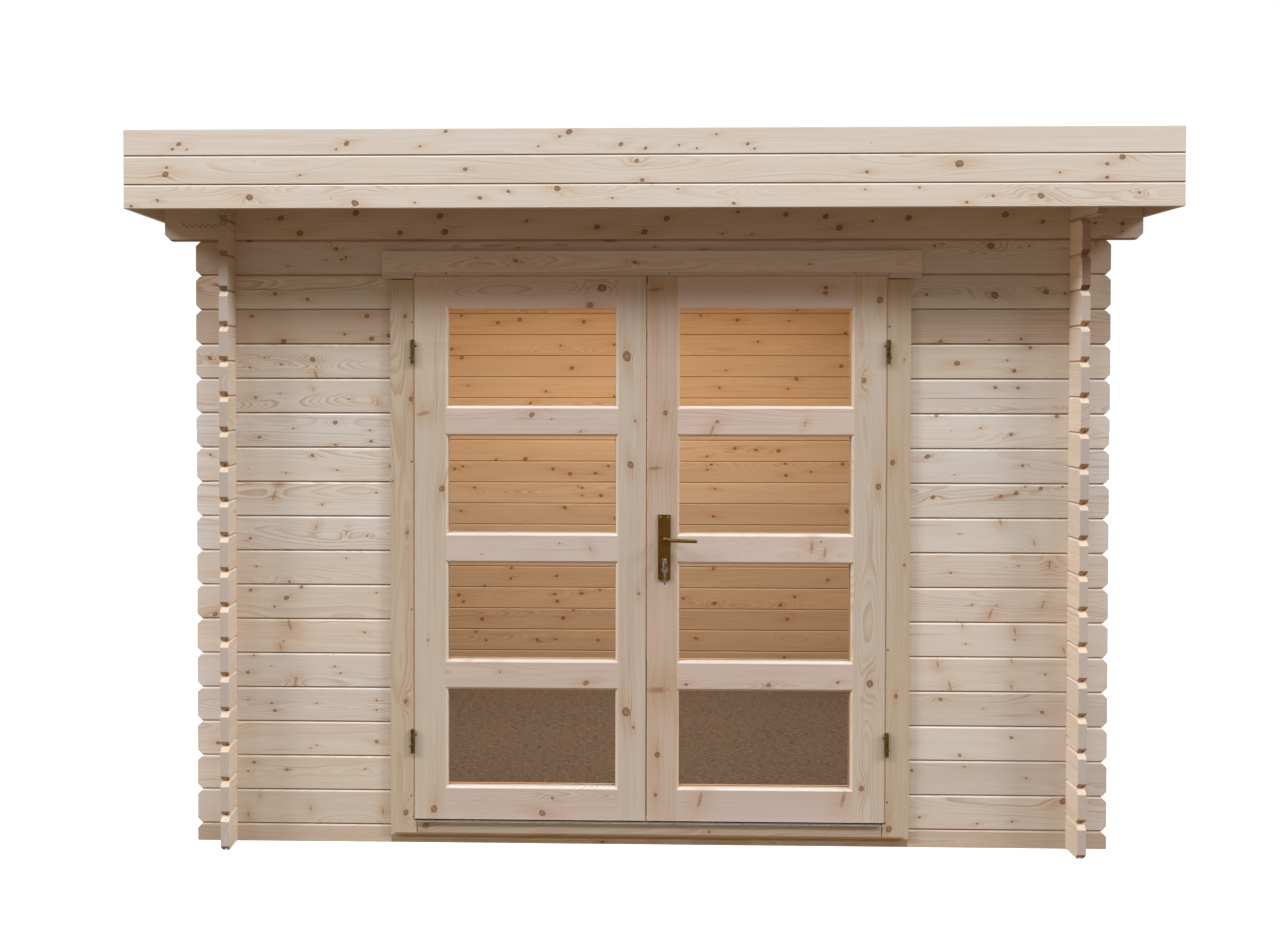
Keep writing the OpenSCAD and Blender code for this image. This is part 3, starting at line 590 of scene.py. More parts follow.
KNOTS_R = {
    3: [(0.958, 0.033, 0.0055), (1.288, -0.007, 0.005), (1.098, 0.003, 0.0022)],
    4: [(0.948, 0.033, -0.004), (0.988, -0.037, -0.005), (1.188, 0.048, -0.0025), (1.188, -0.037, -0.003), (1.298, 0.003, 0.0035)],
    5: [(1.028, 0.048, -0.0028), (1.198, 0.033, -0.004), (1.198, 0.003, 0.0028), (1.038, -0.012, 0.0026), (1.358, -0.032, -0.0035)],
    6: [(1.118, -0.027, -0.005), (1.058, 0.003, 0.0028), (1.138, 0.003, 0.0022), (1.289, 0.006, -0.0035)],
    7: [(0.988, -0.007, 0.0035), (1.309, 0.023, -0.0045), (1.209, 0.018, 0.002), (1.329, 0.013, 0.002)],
    8: [(1.149, 0.048, -0.004), (1.409, 0.033, -0.006), (1.259, -0.022, -0.0032), (1.018, 0.008, 0.0022)],
    9: [(0.929, 0.013, 0.0062), (1.149, 0.018, 0.005), (1.199, 0.028, 0.0062), (1.279, 0.043, 0.0058), (1.229, 0.049, 0.003), (1.349, 0.049, 0.0035)],
    10: [(0.91, 0.033, 0.0072), (1.219, 0.004, 0.0042), (0.999, -0.027, 0.0022)],
    11: [(0.939, 0.053, 0.005), (1.33, 0.051, 0.0055), (1.082, 0.012, 0.003), (1.181, -0.008, 0.005)],
    13: [(1.005, -0.004, 0.0078), (1.19, -0.028, 0.006), (1.168, 0.006, 0.003), (1.242, 0.047, 0.005)],
    14: [(0.951, -0.046, 0.005), (1.108, -0.042, 0.003), (1.212, -0.038, 0.004)],
}
KNOTS_L.update({
    0: [(-1.291, 0.034, -0.0022), (-1.331, -0.026, -0.0035), (-1.121, -0.006, -0.003), (-0.881, -0.011, -0.0035), (-0.831, -0.026, -0.003)],
    1: [(-1.311, 0.034, 0.0052), (-1.201, 0.009, 0.003), (-0.941, 0.014, 0.003), (-1.401, -0.026, 0.0026), (-1.331, 0.004, 0.003)],
    2: [(-1.431, -0.016, 0.0062), (-0.901, -0.008, 0.0058), (-1.101, -0.021, 0.0026), (-1.121, -0.031, 0.002)],
    3: [(-1.241, -0.021, 0.005), (-1.251, 0.004, 0.0038), (-1.331, 0.016, 0.0026), (-0.901, 0.016, 0.0036), (-0.901, -0.016, 0.003), (-1.101, 0.004, 0.0026)],
    4: [(-1.331, -0.008, 0.0052), (-1.311, 0.049, 0.003), (-1.171, -0.036, -0.0052), (-1.041, 0.014, 0.0032), (-1.021, -0.008, 0.0036), (-1.251, 0.014, 0.002)],
    5: [(-1.191, 0.039, -0.0062), (-1.221, -0.036, -0.0032), (-1.211, -0.016, 0.0026), (-0.941, 0.014, 0.0035)],
    6: [(-1.201, 0.014, 0.0072), (-1.321, 0.039, 0.0052), (-1.151, 0.05, 0.0052), (-1.241, -0.016, 0.0035), (-1.44, -0.042, 0.007), (-0.901, 0.033, 0.003)],
    7: [(-1.301, 0.004, 0.003), (-1.001, 0.033, 0.0026), (-1.191, -0.046, 0.004)],
    8: [(-1.321, -0.017, 0.004), (-1.101, 0.023, -0.003), (-0.931, -0.007, 0.003), (-1.001, 0.003, -0.0026)],
    9: [(-1.241, 0.013, -0.0045), (-1.081, -0.017, 0.0035), (-0.901, 0.023, 0.003), (-1.401, 0.003, 0.003)],
})
KNOTS_HEAD = {16: [(-1.193, -0.026, 0.0031), (-1.067, -0.006, 0.0026), (-1.033, 0.031, 0.0056), (-1.016, -0.004, 0.004), (-1, 0.003, 0.004),
                   (-0.431, 0.033, 0.003), (0.019, 0.037, 0.0026), (0.349, 0.023, 0.0024), (1.111, 0.037, 0.0093), (1.236, 0.037, 0.0031), (0.929, 0.038, 0.0045)]}
KNOTS_BEAM = {17: [(x, z - 2.052, r) for x, z, r in (
    (-1.217, 2.07, 0.0087), (-1.153, 2.021, 0.0093), (-0.967, 2.087, 0.0087), (-0.821, 2.021, 0.0074), (-0.689, 2.077, 0.0093), (-0.673, 2.024, 0.0093),
    (-0.403, 2.059, 0.004), (-0.171, 2.039, 0.0081), (-0.016, 2.022, 0.0093), (0.057, 2.066, 0.0087), (0.238, 2.017, 0.0031), (0.289, 2.087, 0.0046),
    (0.335, 2.014, 0.0031), (0.446, 2.079, 0.0074), (0.576, 2.072, 0.0074), (0.62, 2.035, 0.0087), (0.728, 2.056, 0.0037), (0.845, 2.067, 0.0085),
    (1.158, 2.077, 0.0085), (1.279, 2.053, 0.0062), (1.448, 2.049, 0.0043), (1.534, 2.019, -0.0031), (1.536, 2.047, 0.0062))]}
# painted shade below the doorway, where the casings and threshold stand over the log: darkest towards the bottom, with
# painted light on the top strips; the rest of the log a little darker
log_wall("front_sill_log", 0.057 - LH, 0, -OUT, -1.5, 1.5, cuts=(-0.852, 0.852), cuts_z=(0.0115, 0.021, 0.0265, 0.031),
         shade=(lambda c, n: ((1.45, 1.60, 1.70) if c.z > 0.031 else (1.38, 1.34, 1.25) if c.z > 0.0265 else (0.84, 0.71, 0.54) if c.z > 0.021
                              else (0.62, 0.50, 0.36) if c.z > 0.0115 else (0.44, 0.34, 0.23)) if abs(c.x) < 0.85 else (0.82, 0.76, 0.70),))
# painted light on the flanks of the log ends that stand out in front, more on the right than on the left
painted_side_light = lambda c, n: ((1.04, 1.02, 0.97) if c.x < 0 else (1.17, 1.15, 1.10)) if c.y < -OUT - 0.001 and abs(n.x) > 0.6 else None
# painted shade: the lowest courses are a little darker
low = lambda c, n: (0.93, 0.92, 0.90) if c.z < 0.285 else None
# painted light and shade by height: lightened and cooled right under the eaves, a darker band at the edge of the eaves'
# shadow, a little darker below it, and lighter in the middle of the wall
eaves_light_shade = lambda c, n: ((1.01, 1.07, 1.12) if c.z > 1.767 else (0.82, 0.73, 0.63) if c.z > 1.653 else (0.92, 0.92, 0.89) if c.z > 1.539
                        else (1.04, 1.08, 1.11) if 0.969 < c.z < 1.425 else None)
# painted light on the log ends that stand out past the corners below 1.767 m; above it, warmer and darker as painted
# shade under the eaves
tip_light_shade = lambda c, n: ((1.02, 0.93, 0.86) if c.z > 1.767 else (1.17, 1.22, 1.30)) if c.x < -OUT - 0.001 else None
tip_light_shade_r = lambda c, n: ((0.95, 0.90, 0.85) if c.z > 1.767 else (1.08, 1.12, 1.19)) if c.x > OUT + 0.001 else None
dull = lambda c, n: (0.96, 0.96, 0.97)
# inside, the boards grow more yellow towards the roof: painted warm light
inner = lambda c, n: ((1 - 0.02 * w, 1 - 0.16 * w, 1 - 0.33 * w) if (w := max(0.0, min(1.0, (c.z - 0.9) / 0.8))) > 0
                      and c.y < OUT and n.y < -0.5 else None)
log_wall("front_wall_left", 0.057, 0, -OUT, -1.5, -0.8, knots=KNOTS_L, cuts=(-OUT,), shade=(low, eaves_light_shade, tip_light_shade))
log_wall("front_wall_right", 0.057, 0, -OUT, 0.8, 1.5, knots=KNOTS_R, cuts=(OUT,), shade=(low, eaves_light_shade, dull, tip_light_shade_r))
# painted shade on the head log's ends that stand out past the corners; a cooler tint on its middle is painted light for
# the eaves' shade
log_wall("front_wall_head", 0.057, 0, -OUT, -1.5, 1.5, knots=KNOTS_HEAD, cuts=(-OUT, OUT), shade=(lambda c, n: (0.82, 0.76, 0.68) if abs(c.x) > OUT + 0.001 else (0.95, 1.00, 1.07),))
log_wall("front_beam_lower", 0.057, 0, -OUT, -1.6, 1.6, knots=KNOTS_BEAM)
log_wall("front_beam_upper", 0.057, 0, -OUT, -1.6, 1.6)
log_wall("left_wall", 0.0, 1, -OUT, -1.5, 1.5, cuts=(-OUT,), shade=(painted_side_light,))
# high up, on the log ends that stand out on the right: painted light on the flank, painted shade on the front faces
# under the roof
eaves_end_light_shade = lambda c, n: ((1.45, 1.52, 1.66) if n.x < -0.6 else ((0.86, 0.73, 0.62) if c.z > 1.938 else (0.62, 0.48, 0.34)) if n.y < -0.6 else None) if c.y < -OUT - 0.001 and c.z > 1.824 else None
log_wall("right_wall", 0.0, 1, OUT, -1.5, 1.5, flip=-1.0, cuts=(-OUT,), shade=(painted_side_light, eaves_end_light_shade))
log_wall("left_wall_top", 0.0, 1, -OUT, -1.6, 1.6)
# painted light on the flank of the top log's end that stands out in front
log_wall("right_wall_top", 0.0, 1, OUT, -1.6, 1.6, flip=-1.0, cuts=(-OUT,), shade=(lambda c, n: (1.32, 1.48, 1.58) if c.y < -OUT - 0.001 and n.x < -0.6 else None,))
KNOTS_BACK = {
    0: [(-0.800, 0.042, 0.0067), (-0.743, -0.003, 0.0067), (-0.466, 0.001, 0.0073), (-0.365, 0.003, 0.0061), (-0.136, 0.001, 0.0067), (0.393, 0.016, 0.0055)],
    1: [(-0.765, -0.001, 0.0091), (-0.326, 0.005, 0.0099), (-0.270, 0.049, 0.0061), (0.884, 0.006, 0.0087)],
    2: [(-0.892, 0.014, 0.0091), (-0.867, -0.022, 0.0067), (-0.372, 0.022, 0.0067), (-0.357, -0.018, 0.0095), (-0.225, 0.026, 0.0078), (-0.126, 0.045, 0.0055),
        (0.324, 0.002, 0.0073), (0.492, -0.024, 0.0082), (0.847, -0.032, 0.0091), (0.922, 0.013, 0.0067)],
    3: [(-0.752, -0.049, 0.0061), (-0.609, -0.009, 0.0073), (-0.605, 0.048, 0.0067), (-0.361, 0.006, 0.0067), (0.487, 0.049, 0.0082), (1.1, -0.01, 0.008)],
    6: [(-0.880, 0.015, 0.0055), (-0.317, 0.034, 0.0087), (-0.044, -0.022, 0.0073), (0.485, -0.009, 0.0067), (1.2, 0.02, 0.009)],
    7: [(-0.806, 0.029, 0.0061), (-0.224, 0.028, 0.0055), (-0.223, -0.012, 0.0061), (-0.121, -0.013, 0.0091), (0.493, 0.025, 0.0055)],
    8: [(-0.915, 0.016, 0.0073), (-0.870, 0.028, 0.0055), (-0.381, 0.016, 0.0078), (-0.289, -0.010, 0.0099), (-0.151, -0.006, 0.0073), (-0.082, 0.033, 0.0061),
        (0.451, 0.014, 0.0061), (0.471, 0.042, 0.0061), (0.869, 0.048, 0.0061), (0.873, -0.015, 0.0078), (1.008, 0.004, 0.0055), (1.177, 0.046, 0.0091)],
    9: [(-0.690, -0.048, 0.0061), (-0.531, -0.044, 0.0099), (0.449, -0.028, 0.0061), (0.599, 0.015, 0.0073), (0.712, 0.008, 0.0078), (0.833, 0.004, 0.0095)],
    12: [(-0.049, -0.048, 0.0073), (0.515, 0.0, 0.0061), (0.883, -0.006, 0.0055), (0.928, 0.048, 0.0091), (-0.84, 0.01, 0.005), (-0.42, -0.02, 0.006)],
    13: [(-0.875, 0.048, 0.0091), (-0.280, -0.008, 0.0099), (1.167, 0.003, 0.0099), (0.55, -0.02, 0.005)],
    14: [(-0.340, 0.0, 0.0055), (-0.051, 0.004, 0.0061), (0.72, 0.02, 0.006), (-0.93, -0.02, 0.008)],
    15: [(-0.877, 0.046, 0.0073), (-0.680, 0.008, 0.0087), (-0.562, 0.027, 0.0099), (-0.215, 0.014, 0.0099), (0.415, 0.048, 0.0067), (0.610, 0.023, 0.0099),
         (0.887, 0.018, 0.0055), (1.189, -0.049, 0.0082)]}
log_wall("back_wall", 0.057, 0, OUT, -1.5, 1.5, flip=-1.0, knots=KNOTS_BACK, shade=(inner,))
log_wall("back_beam", 0.057, 0, OUT, -1.6, 1.6, flip=-1.0)


# ---------------------------------------------------------- simple timbers --
def cad_timber(node, axis, across, mat, soft=0.0008, split=None, name=None, half=0.04, n_knots=3, tint=None, vary=0.04, knots=None,
               shade=None, cuts_z=()):
    """CAD boards kept in shape, one grain per solid. split maps a face centre to a board number."""
    s = Solid(name or node + "_boards")
    cad_mesh(s, node)
    soften(s.bm, soft)
    parts = {k: chunk_knots(v) for k, v in (knots or {}).items()}
    cut_mesh(s.bm, axis, [q[0] for v in parts.values() for q in v[1:]])
    cut_mesh(s.bm, 2, cuts_z)
    groups = {}
    for f in s.bm.faces:
        groups.setdefault(split(f.calc_center_median()) if split else 0, []).append(f)
    for k, fs in sorted(groups.items()):
        vs = [v.co for f in fs for v in f.verts]
        lo = Vector([min(v[i] for v in vs) for i in range(3)])
        hi = Vector([max(v[i] for v in vs) for i in range(3)])
        c = (lo + hi) / 2
        through = 3 - axis - across
        c[through] = lo[through]
        t = rand_tint(rng, vary)
        seed = rng.uniform(0, 10)
        spare = [(x, y + c[across], r) for x, y, r in rand_knots(rng, lo[axis], hi[axis], half, n_knots)]
        for a, b, ks in parts.get(k) or [(-99.0, 99.0, spare)]:
            some = [f for f in fs if a <= f.calc_center_median()[axis] < b]
            s.paint(some, axis, c, seed, tuple(p * q for p, q in zip(t, tint or (1, 1, 1))), [(x, y - c[across], r) for x, y, r in ks], across=across)
    if shade:
        retint(s, s.bm.faces, shade)
    return s.finish("house", mat, (node,))


side = lambda c: 0 if c.x < 0 else 1
cad_timber("door_jambs", 2, 0, DOOR, split=side)
cad_timber("door_head", 0, 2, DOOR)
# knots of the trim: board -> (along, place across, radius)
CASING_KNOTS = {0: [(1.746, -0.802, 0.006), (1.473, -0.784, 0.007), (1.033, -0.796, 0.0055), (0.474, -0.801, 0.006), (0.104, -0.801, 0.008), (1.203, -0.843, 0.003)],
                1: [(1.268, 0.793, 0.0075), (0.503, 0.808, 0.006), (0.065, 0.788, 0.0095), (0.933, 0.833, 0.004), (1.603, 0.829, 0.003)]}
cad_timber("door_casings", 2, 0, DOOR, split=side, tint=(0.90, 0.865, 0.80), knots=CASING_KNOTS)
# the header's lowest strip is darker: painted shade along its lower edge
cad_timber("door_header", 0, 2, RAIL, tint=(1.17, 1.29, 1.45), knots={0: [(-0.4378, 1.9274, 0.0058), (-0.0483, 1.9223, 0.0050), (-0.5666, 1.9364, 0.0030), (0.52, 1.915, 0.003)]}, cuts_z=(1.8905,),
           shade=lambda c, n: (0.85, 0.83, 0.80) if c.z < 1.8905 else None)
cad_timber("inner_casings", 2, 0, DOOR, split=side)
cad_timber("inner_header", 0, 2, DOOR)
# painted light: the upper strips of the threshold, in the shadow of the aluminium nose, are lightened
cad_timber("threshold", 0, 2, DOOR, half=0.015, tint=(0.79, 0.755, 0.75), knots={0: [(-0.735, 0.062, 0.009), (0.2, 0.05, 0.004)]}, cuts_z=(0.064, 0.0675),
           shade=lambda c, n: (1.6, 1.9, 2.2) if c.z > 0.0675 else (1.35, 1.5, 1.7) if c.z > 0.064 else (0.95, 0.94, 0.93))
cad_timber("purlins", 0, 2, ROOFWOOD, split=lambda c: round(c.y / 0.7), half=0.02)
cad_timber("eaves_board", 0, 2, FASCIA)
FZ = (2.1435, 2.233)
row = lambda c: 0 if c.z < FZ[0] else 1 if c.z < FZ[1] else 2
FASCIA_KNOTS = {
    0: [(-1.626, 2.078, 0.0043), (-1.544, 2.096, 0.0043), (-1.255, 2.105, 0.0093), (-0.925, 2.086, 0.0087), (-0.739, 2.087, 0.0031), (-0.537, 2.101, 0.0056),
        (-0.449, 2.121, 0.0046), (-0.297, 2.13, 0.0081), (-0.127, 2.1, 0.0028), (0.076, 2.127, 0.0031), (0.247, 2.082, 0.0046), (0.649, 2.124, 0.0028),
        (0.815, 2.129, 0.0037), (0.959, 2.084, 0.0043), (1.039, 2.103, 0.0046), (1.184, 2.103, 0.0093), (1.482, 2.112, 0.0037)],
    1: [(-1.518, 2.177, 0.0081), (-1.514, 2.198, 0.0037), (-1.097, 2.173, 0.0031), (-0.582, 2.19, 0.0056), (-0.052, 2.214, 0.0062), (-0.035, 2.155, 0.0056),
        (0.654, 2.178, 0.0046), (0.936, 2.202, 0.0105), (1.241, 2.174, 0.0031), (1.384, 2.159, 0.005), (1.384, 2.2, 0.005), (1.43, 2.221, 0.0081)],
    2: [(-1.496, 2.255, 0.0046), (-1.476, 2.27, 0.0062), (-1.451, 2.254, 0.0031), (-0.983, 2.253, 0.0037), (-0.951, 2.27, 0.0074), (-0.723, 2.261, 0.0037),
        (-0.643, 2.307, 0.0046), (-0.356, 2.26, 0.0031), (-0.29, 2.29, 0.004), (-0.261, 2.304, 0.0081), (-0.101, 2.265, 0.0059), (-0.025, 2.253, 0.005),
        (0.078, 2.262, 0.0037), (0.133, 2.252, 0.0034), (0.193, 2.295, 0.0031), (0.289, 2.265, 0.0046), (0.31, 2.25, 0.0034)]}
# painted highlight on the upper bevels of the fascia boards, painted shade on the lower ones
FASCIA_BEVEL_LIGHT_SHADE = lambda c, n: (1.17, 1.19, 1.24) if 0.3 < n.z < 0.95 else (0.42, 0.36, 0.30) if -0.95 < n.z < -0.3 else None
cad_timber("fascia_front", 0, 2, FASCIA, split=row, half=0.03, knots=FASCIA_KNOTS, shade=FASCIA_BEVEL_LIGHT_SHADE, vary=0.02)
cad_timber("fascia_left", 1, 2, FASCIA, split=row, half=0.03, shade=FASCIA_BEVEL_LIGHT_SHADE)
cad_timber("fascia_right", 1, 2, FASCIA, split=row, half=0.03, shade=FASCIA_BEVEL_LIGHT_SHADE)


# ------------------------------------------------------------------- roof --
def roof_boards():
    """Matchboards that run from front to rear, with a small groove under each joint."""
    s = Solid("roof_boards")
    lo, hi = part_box("roof_deck")
    n = 34
    w = (hi.x - lo.x) / n
    slope = 0.114 / 2.79
    y0, y1 = lo.y, hi.y
    zu = lambda y: 2.223 + (-OUT - y) * slope
    for i in range(n):
        a, b = lo.x + i * w + 0.0002, lo.x + (i + 1) * w - 0.0002
        c = 0.003
        tmp = bmesh.new()
        pts = [(a + c, 0.0), (b - c, 0.0), (b, c), (b, 0.018), (a, 0.018), (a, c)]
        f = [tmp.verts.new((x, y0, zu(y0) + z)) for x, z in pts]
        g = [tmp.verts.new((x, y1, zu(y1) + z)) for x, z in pts]
        tmp.faces.new(f)
        tmp.faces.new(g)
        for k in range(len(pts)):
            j = (k + 1) % len(pts)
            tmp.faces.new((f[k], f[j], g[j], g[k]))
        bmesh.ops.recalc_face_normals(tmp, faces=tmp.faces)
        me = bpy.data.meshes.new("tmp")
        tmp.to_mesh(me)
        tmp.free()
        before = set(s.bm.faces)
        s.bm.from_mesh(me)
        bpy.data.meshes.remove(me)
        s.bm.normal_update()
        fs = [q for q in s.bm.faces if q not in before]
        s.paint(fs, 1, ((a + b) / 2, 0, 2.12), rng.uniform(0, 10), rand_tint(rng, 0.07), rand_knots(rng, y0, y1, 0.04, 4), across=0)
    s.finish("house", ROOFWOOD, ("roof_deck",))


roof_boards()


def roof_felt():
    """Four strips of felt that overlap towards the rear, with a gritty face."""
    lo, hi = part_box("roof_felt")
    slope = 0.114 / 2.79
    bm = bmesh.new()
    zt = lambda y: 2.223 + (-OUT - y) * slope + 0.018
    rows = 4
    depth = (hi.y - lo.y) / rows
    r = random.Random(3)
    for i in range(rows):
        a = lo.y + i * depth
        b = lo.y + (i + 1) * depth
        nx = 60
        top, bot, front = [], [], []
        for j in range(nx + 1):
            x = lo.x + (hi.x - lo.x) * j / nx
            wob = r.uniform(-0.0006, 0.0006)
            la, lb = (0.0012, 0.0028)
            top.append((x, a + (0 if i == 0 else wob), zt(a) + la))
            bot.append((x, b + (0 if i == rows - 1 else wob), zt(b) + lb))
            front.append((x, b + (0 if i == rows - 1 else wob), zt(b) + 0.0002))
        va = [bm.verts.new(p) for p in top]
        vb = [bm.verts.new(p) for p in bot]
        vc = [bm.verts.new(p) for p in front]
        vd = [bm.verts.new((p[0], p[1], zt(a) + 0.0001)) for p in top]
        for j in range(nx):
            bm.faces.new((va[j], va[j + 1], vb[j + 1], vb[j]))
            bm.faces.new((vb[j], vb[j + 1], vc[j + 1], vc[j]))
            bm.faces.new((vc[j], vc[j + 1], vd[j + 1], vd[j]))
            bm.faces.new((vd[j], vd[j + 1], va[j + 1], va[j]))
        bm.faces.new((va[0], vb[0], vc[0], vd[0]))
        bm.faces.new((va[-1], vd[-1], vc[-1], vb[-1]))
    bmesh.ops.recalc_face_normals(bm, faces=bm.faces)
    me = bpy.data.meshes.new("felt_strips")
    bm.to_mesh(me)
    bm.free()
    me.materials.append(FELT)
    link("felt_strips", me, "house", ("roof_felt",))


roof_felt()


# ------------------------------------------------------------------ leaves --
PANES = [0.187 + i * (0.335 + 0.0837) for i in range(4)]


# knots of the leaves: part -> (along, place across, radius), negative for a spike knot
LEAF_KNOTS = {
    "left": {4: [(-0.195, 1.782, 0.0095), (-0.155, 1.838, 0.012)], 3: [(-0.385, 1.423, 0.0074), (-0.32, 1.408, 0.0025), (-0.225, 1.368, 0.0031)],
             2: [(-0.294, 0.999, 0.0025), (-0.193, 0.984, -0.0031), (-0.551, 0.963, 0.002)], 1: [(-0.489, 0.573, 0.0031), (-0.206, 0.539, 0.0081)],
             0: [(-0.35, 0.107, 0.0099), (-0.316, 0.156, 0.0046)],
             "hinge": [(1.426, -0.741, -0.0068), (0.677, -0.728, 0.0031), (0.117, -0.708, 0.0105), (1.178, -0.681, 0.0093)],
             "meet": [(0.444, -0.074, 0.0124), (1.614, -0.074, 0.0135), (1.259, -0.061, 0.0093), (0.394, -0.05, 0.0046), (1.403, -0.046, 0.004), (0.835, -0.033, 0.0046)]},
    "right": {4: [(0.573, 1.821, 0.0068), (0.574, 1.838, 0.006)], 3: [(0.206, 1.373, -0.005), (0.222, 1.4, 0.0056), (0.509, 1.395, -0.0028)],
              2: [(0.532, 0.99, -0.0062), (0.562, 1.008, 0.0031), (0.575, 0.971, -0.005)], 1: [(0.123, 0.536, 0.0046), (0.393, 0.536, 0.0062), (0.619, 0.546, 0.005)],
              0: [(0.169, 0.155, -0.0074), (0.638, 0.162, -0.0074)],
              "hinge": [(0.197, 0.698, 0.0075), (1.536, 0.699, 0.0081), (0.543, 0.723, 0.0109), (1.189, 0.748, 0.0084), (1.798, 0.75, 0.0093)],
              "meet": [(1.833, 0.018, -0.0074), (1.247, 0.019, -0.0068), (0.17, 0.023, 0.005), (0.517, 0.027, -0.0105), (0.303, 0.029, 0.0081), (1.429, 0.053, 0.0068)]}}
# painted light on the bevels round the panes: a painted highlight on the upper rail bevels and the stile bevels, and
# the lower rail bevels lightened too, most under the top rail
RAIL_BEVEL_LIGHT = lambda c, n: ((1.17, 1.21, 1.26) if c.z > 0.3 else (1.26, 1.36, 1.38)) if n.y < -0.3 and n.z > 0.3 else ((1.5, 1.5, 1.5) if c.z > 1.7 else (1.36, 1.36, 1.32)) if n.y < -0.3 and n.z < -0.3 else None
STILE_BEVEL_LIGHT = lambda c, n: (1.27, 1.26, 1.24) if n.y < -0.3 and abs(n.x) > 0.3 and n.y > -0.95 else None


def leaf(side_name, x_meet, x_hinge, p_meet, p_hinge, body, frame_node, bead_node):
    own = LEAF_KNOTS[side_name]

    y0, y1 = -1.412, -1.372
    z0, z1 = 0.084, 1.876
    c, gd, gt = 0.008, 0.024, 0.004
    s = Solid(side_name + "_leaf_boards")
    sgn = 1 if x_hinge > x_meet else -1
    soft = 0.0007
    # stiles: the bevel and the rebate run their whole length
    def stile(x_out, x_in, sign, slope=0.0):
        pts = [(x_out, y0), (x_in, y0), (x_in + sign * c, y0 + c), (x_in + sign * c, y0 + gd), (x_in, y0 + gd), (x_in, y1), (x_out + slope, y1)]
        return new_board(s, pts, 2, z0, z1, soft)
    fs = stile(x_meet, p_meet, sgn, sgn * 0.0025)
    xc = (x_meet + p_meet) / 2 - 0.115  # sawn well away from the pith, so the grain runs straight
    tint = tuple(p * q for p, q in zip(rand_tint(rng, 0.03), (1, 1, 1) if sgn < 0 else (0.94, 0.89, 0.90)))
    s.paint(fs, 2, (xc, y0, 0), rng.uniform(0, 10), tint, [(a, b - xc, r) for a, b, r in own["meet"]], across=0)
    retint(s, fs, STILE_BEVEL_LIGHT)
    fs = stile(x_hinge, p_hinge, -sgn)
    xc = (x_hinge + p_hinge) / 2
    s.paint(fs, 2, (xc, y0, 0), rng.uniform(0, 10), rand_tint(rng, 0.03), [(a, b - xc, r) for a, b, r in own["hinge"]], across=0)
    retint(s, fs, STILE_BEVEL_LIGHT)
    # painted light: the upper ends of the stiles, in the eaves' shade, are lightened, the outer stiles more than the
    # meeting ones
    cut_mesh(s.bm, 2, (1.56, 1.66, 1.76))
    retint(s, s.bm.faces, lambda c, n: tuple([1 + (1.0 if abs(c.x) > 0.4 else 0.45) * (0.14 if c.z > 1.76 else 0.10 if c.z > 1.66 else 0.04)] * 3) if c.z > 1.56 else None)
    lo_x, hi_x = min(p_meet, p_hinge) + 0.0002, max(p_meet, p_hinge) - 0.0002
    edges = [z0] + [v for p in PANES for v in (p, p + 0.335)] + [z1]
    for i in range(5):
        a, b = edges[2 * i], edges[2 * i + 1]
        pts = []
        # outline in (y, z), going up the face and down the back
        if i == 0:
            pts += [(y1, a), (y0, a)]
        else:
            pts += [(y1, a), (y0 + gd, a), (y0 + gd, a - c), (y0 + c, a - c), (y0, a)]
        if i == 4:
            pts += [(y0, b), (y1, b)]
        else:
            pts += [(y0, b), (y0 + c, b + c), (y0 + gd, b + c), (y0 + gd, b), (y1, b)]
        fs = new_board(s, pts, 0, lo_x, hi_x, soft)
        for f in fs:
            f.material_index = 1
        zc = (a + b) / 2
        tint = (0.97, 0.96, 0.95) if i == 1 else (1.04, 1.06, 1.07) if i == 2 else (1.11, 1.11, 1.16) if i == 4 else (1.05, 1.05, 1.05) if i == 3 else (0.95, 0.94, 0.93)
        s.paint(fs, 0, (0, y0, zc), rng.uniform(0, 10), tuple(p * q for p, q in zip(rand_tint(rng, 0.02, 0.015), tint)),
                [(p, q - zc, r) for p, q, r in own[i]], across=2)
        retint(s, fs, RAIL_BEVEL_LIGHT)
    if sgn < 0:
        # low tongue along the meeting edge, well clear of the other leaf
        fs = new_board(s, box_pts(-0.0112, -0.0072, -1.404, -1.394), 2, z0 + 0.001, z1 - 0.001, 0.0004)
        s.paint(fs, 2, (-0.009, -1.404, 0), rng.uniform(0, 10), (1.0, 0.84, 0.66), across=0)
    s.finish(body, (DOOR, RAIL), (frame_node,))
    # beads: four mitred strips per pane, with a rounded inner edge
    s = Solid(side_name + "_leaf_glazing_beads")
    ya, yb, w = y0 + gd + gt + 0.0004, y1, 0.0088
    # painted light: the beads are lightened, and warmed on all but the lowest, so their shaded sides behind the glass
    # read bright
    for p in PANES:
        a, b = p, p + 0.335
        for (qa, qb, horizontal) in ((a, a + w, True), (b - w, b, True), (lo_x, lo_x + w, False), (hi_x - w, hi_x, False)):
            if horizontal:
                fs = new_board(s, box_pts(ya, yb, qa, qb), 0, lo_x, hi_x, 0.0015, 3)
                s.paint(fs, 0, (0, ya, (qa + qb) / 2), rng.uniform(0, 10), (1.42, 1.38, 1.34) if qa == a else (1.42, 1.24, 1.02), across=2)
            else:
                fs = new_board(s, box_pts(qa, qb, ya, yb), 2, a + w, b - w, 0.0015, 3)
                s.paint(fs, 2, ((qa + qb) / 2, ya, 0), rng.uniform(0, 10), (1.42, 1.24, 1.02), across=0)
    s.finish(body, DOOR, (bead_node,))


leaf("left", -0.0105, -0.7715, -0.1005, -0.669, "left_leaf", "left_leaf_frame", "left_leaf_beads")
leaf("right", -0.0055, 0.7715, 0.092, 0.669, "right_leaf", "right_leaf_frame", "right_leaf_beads")



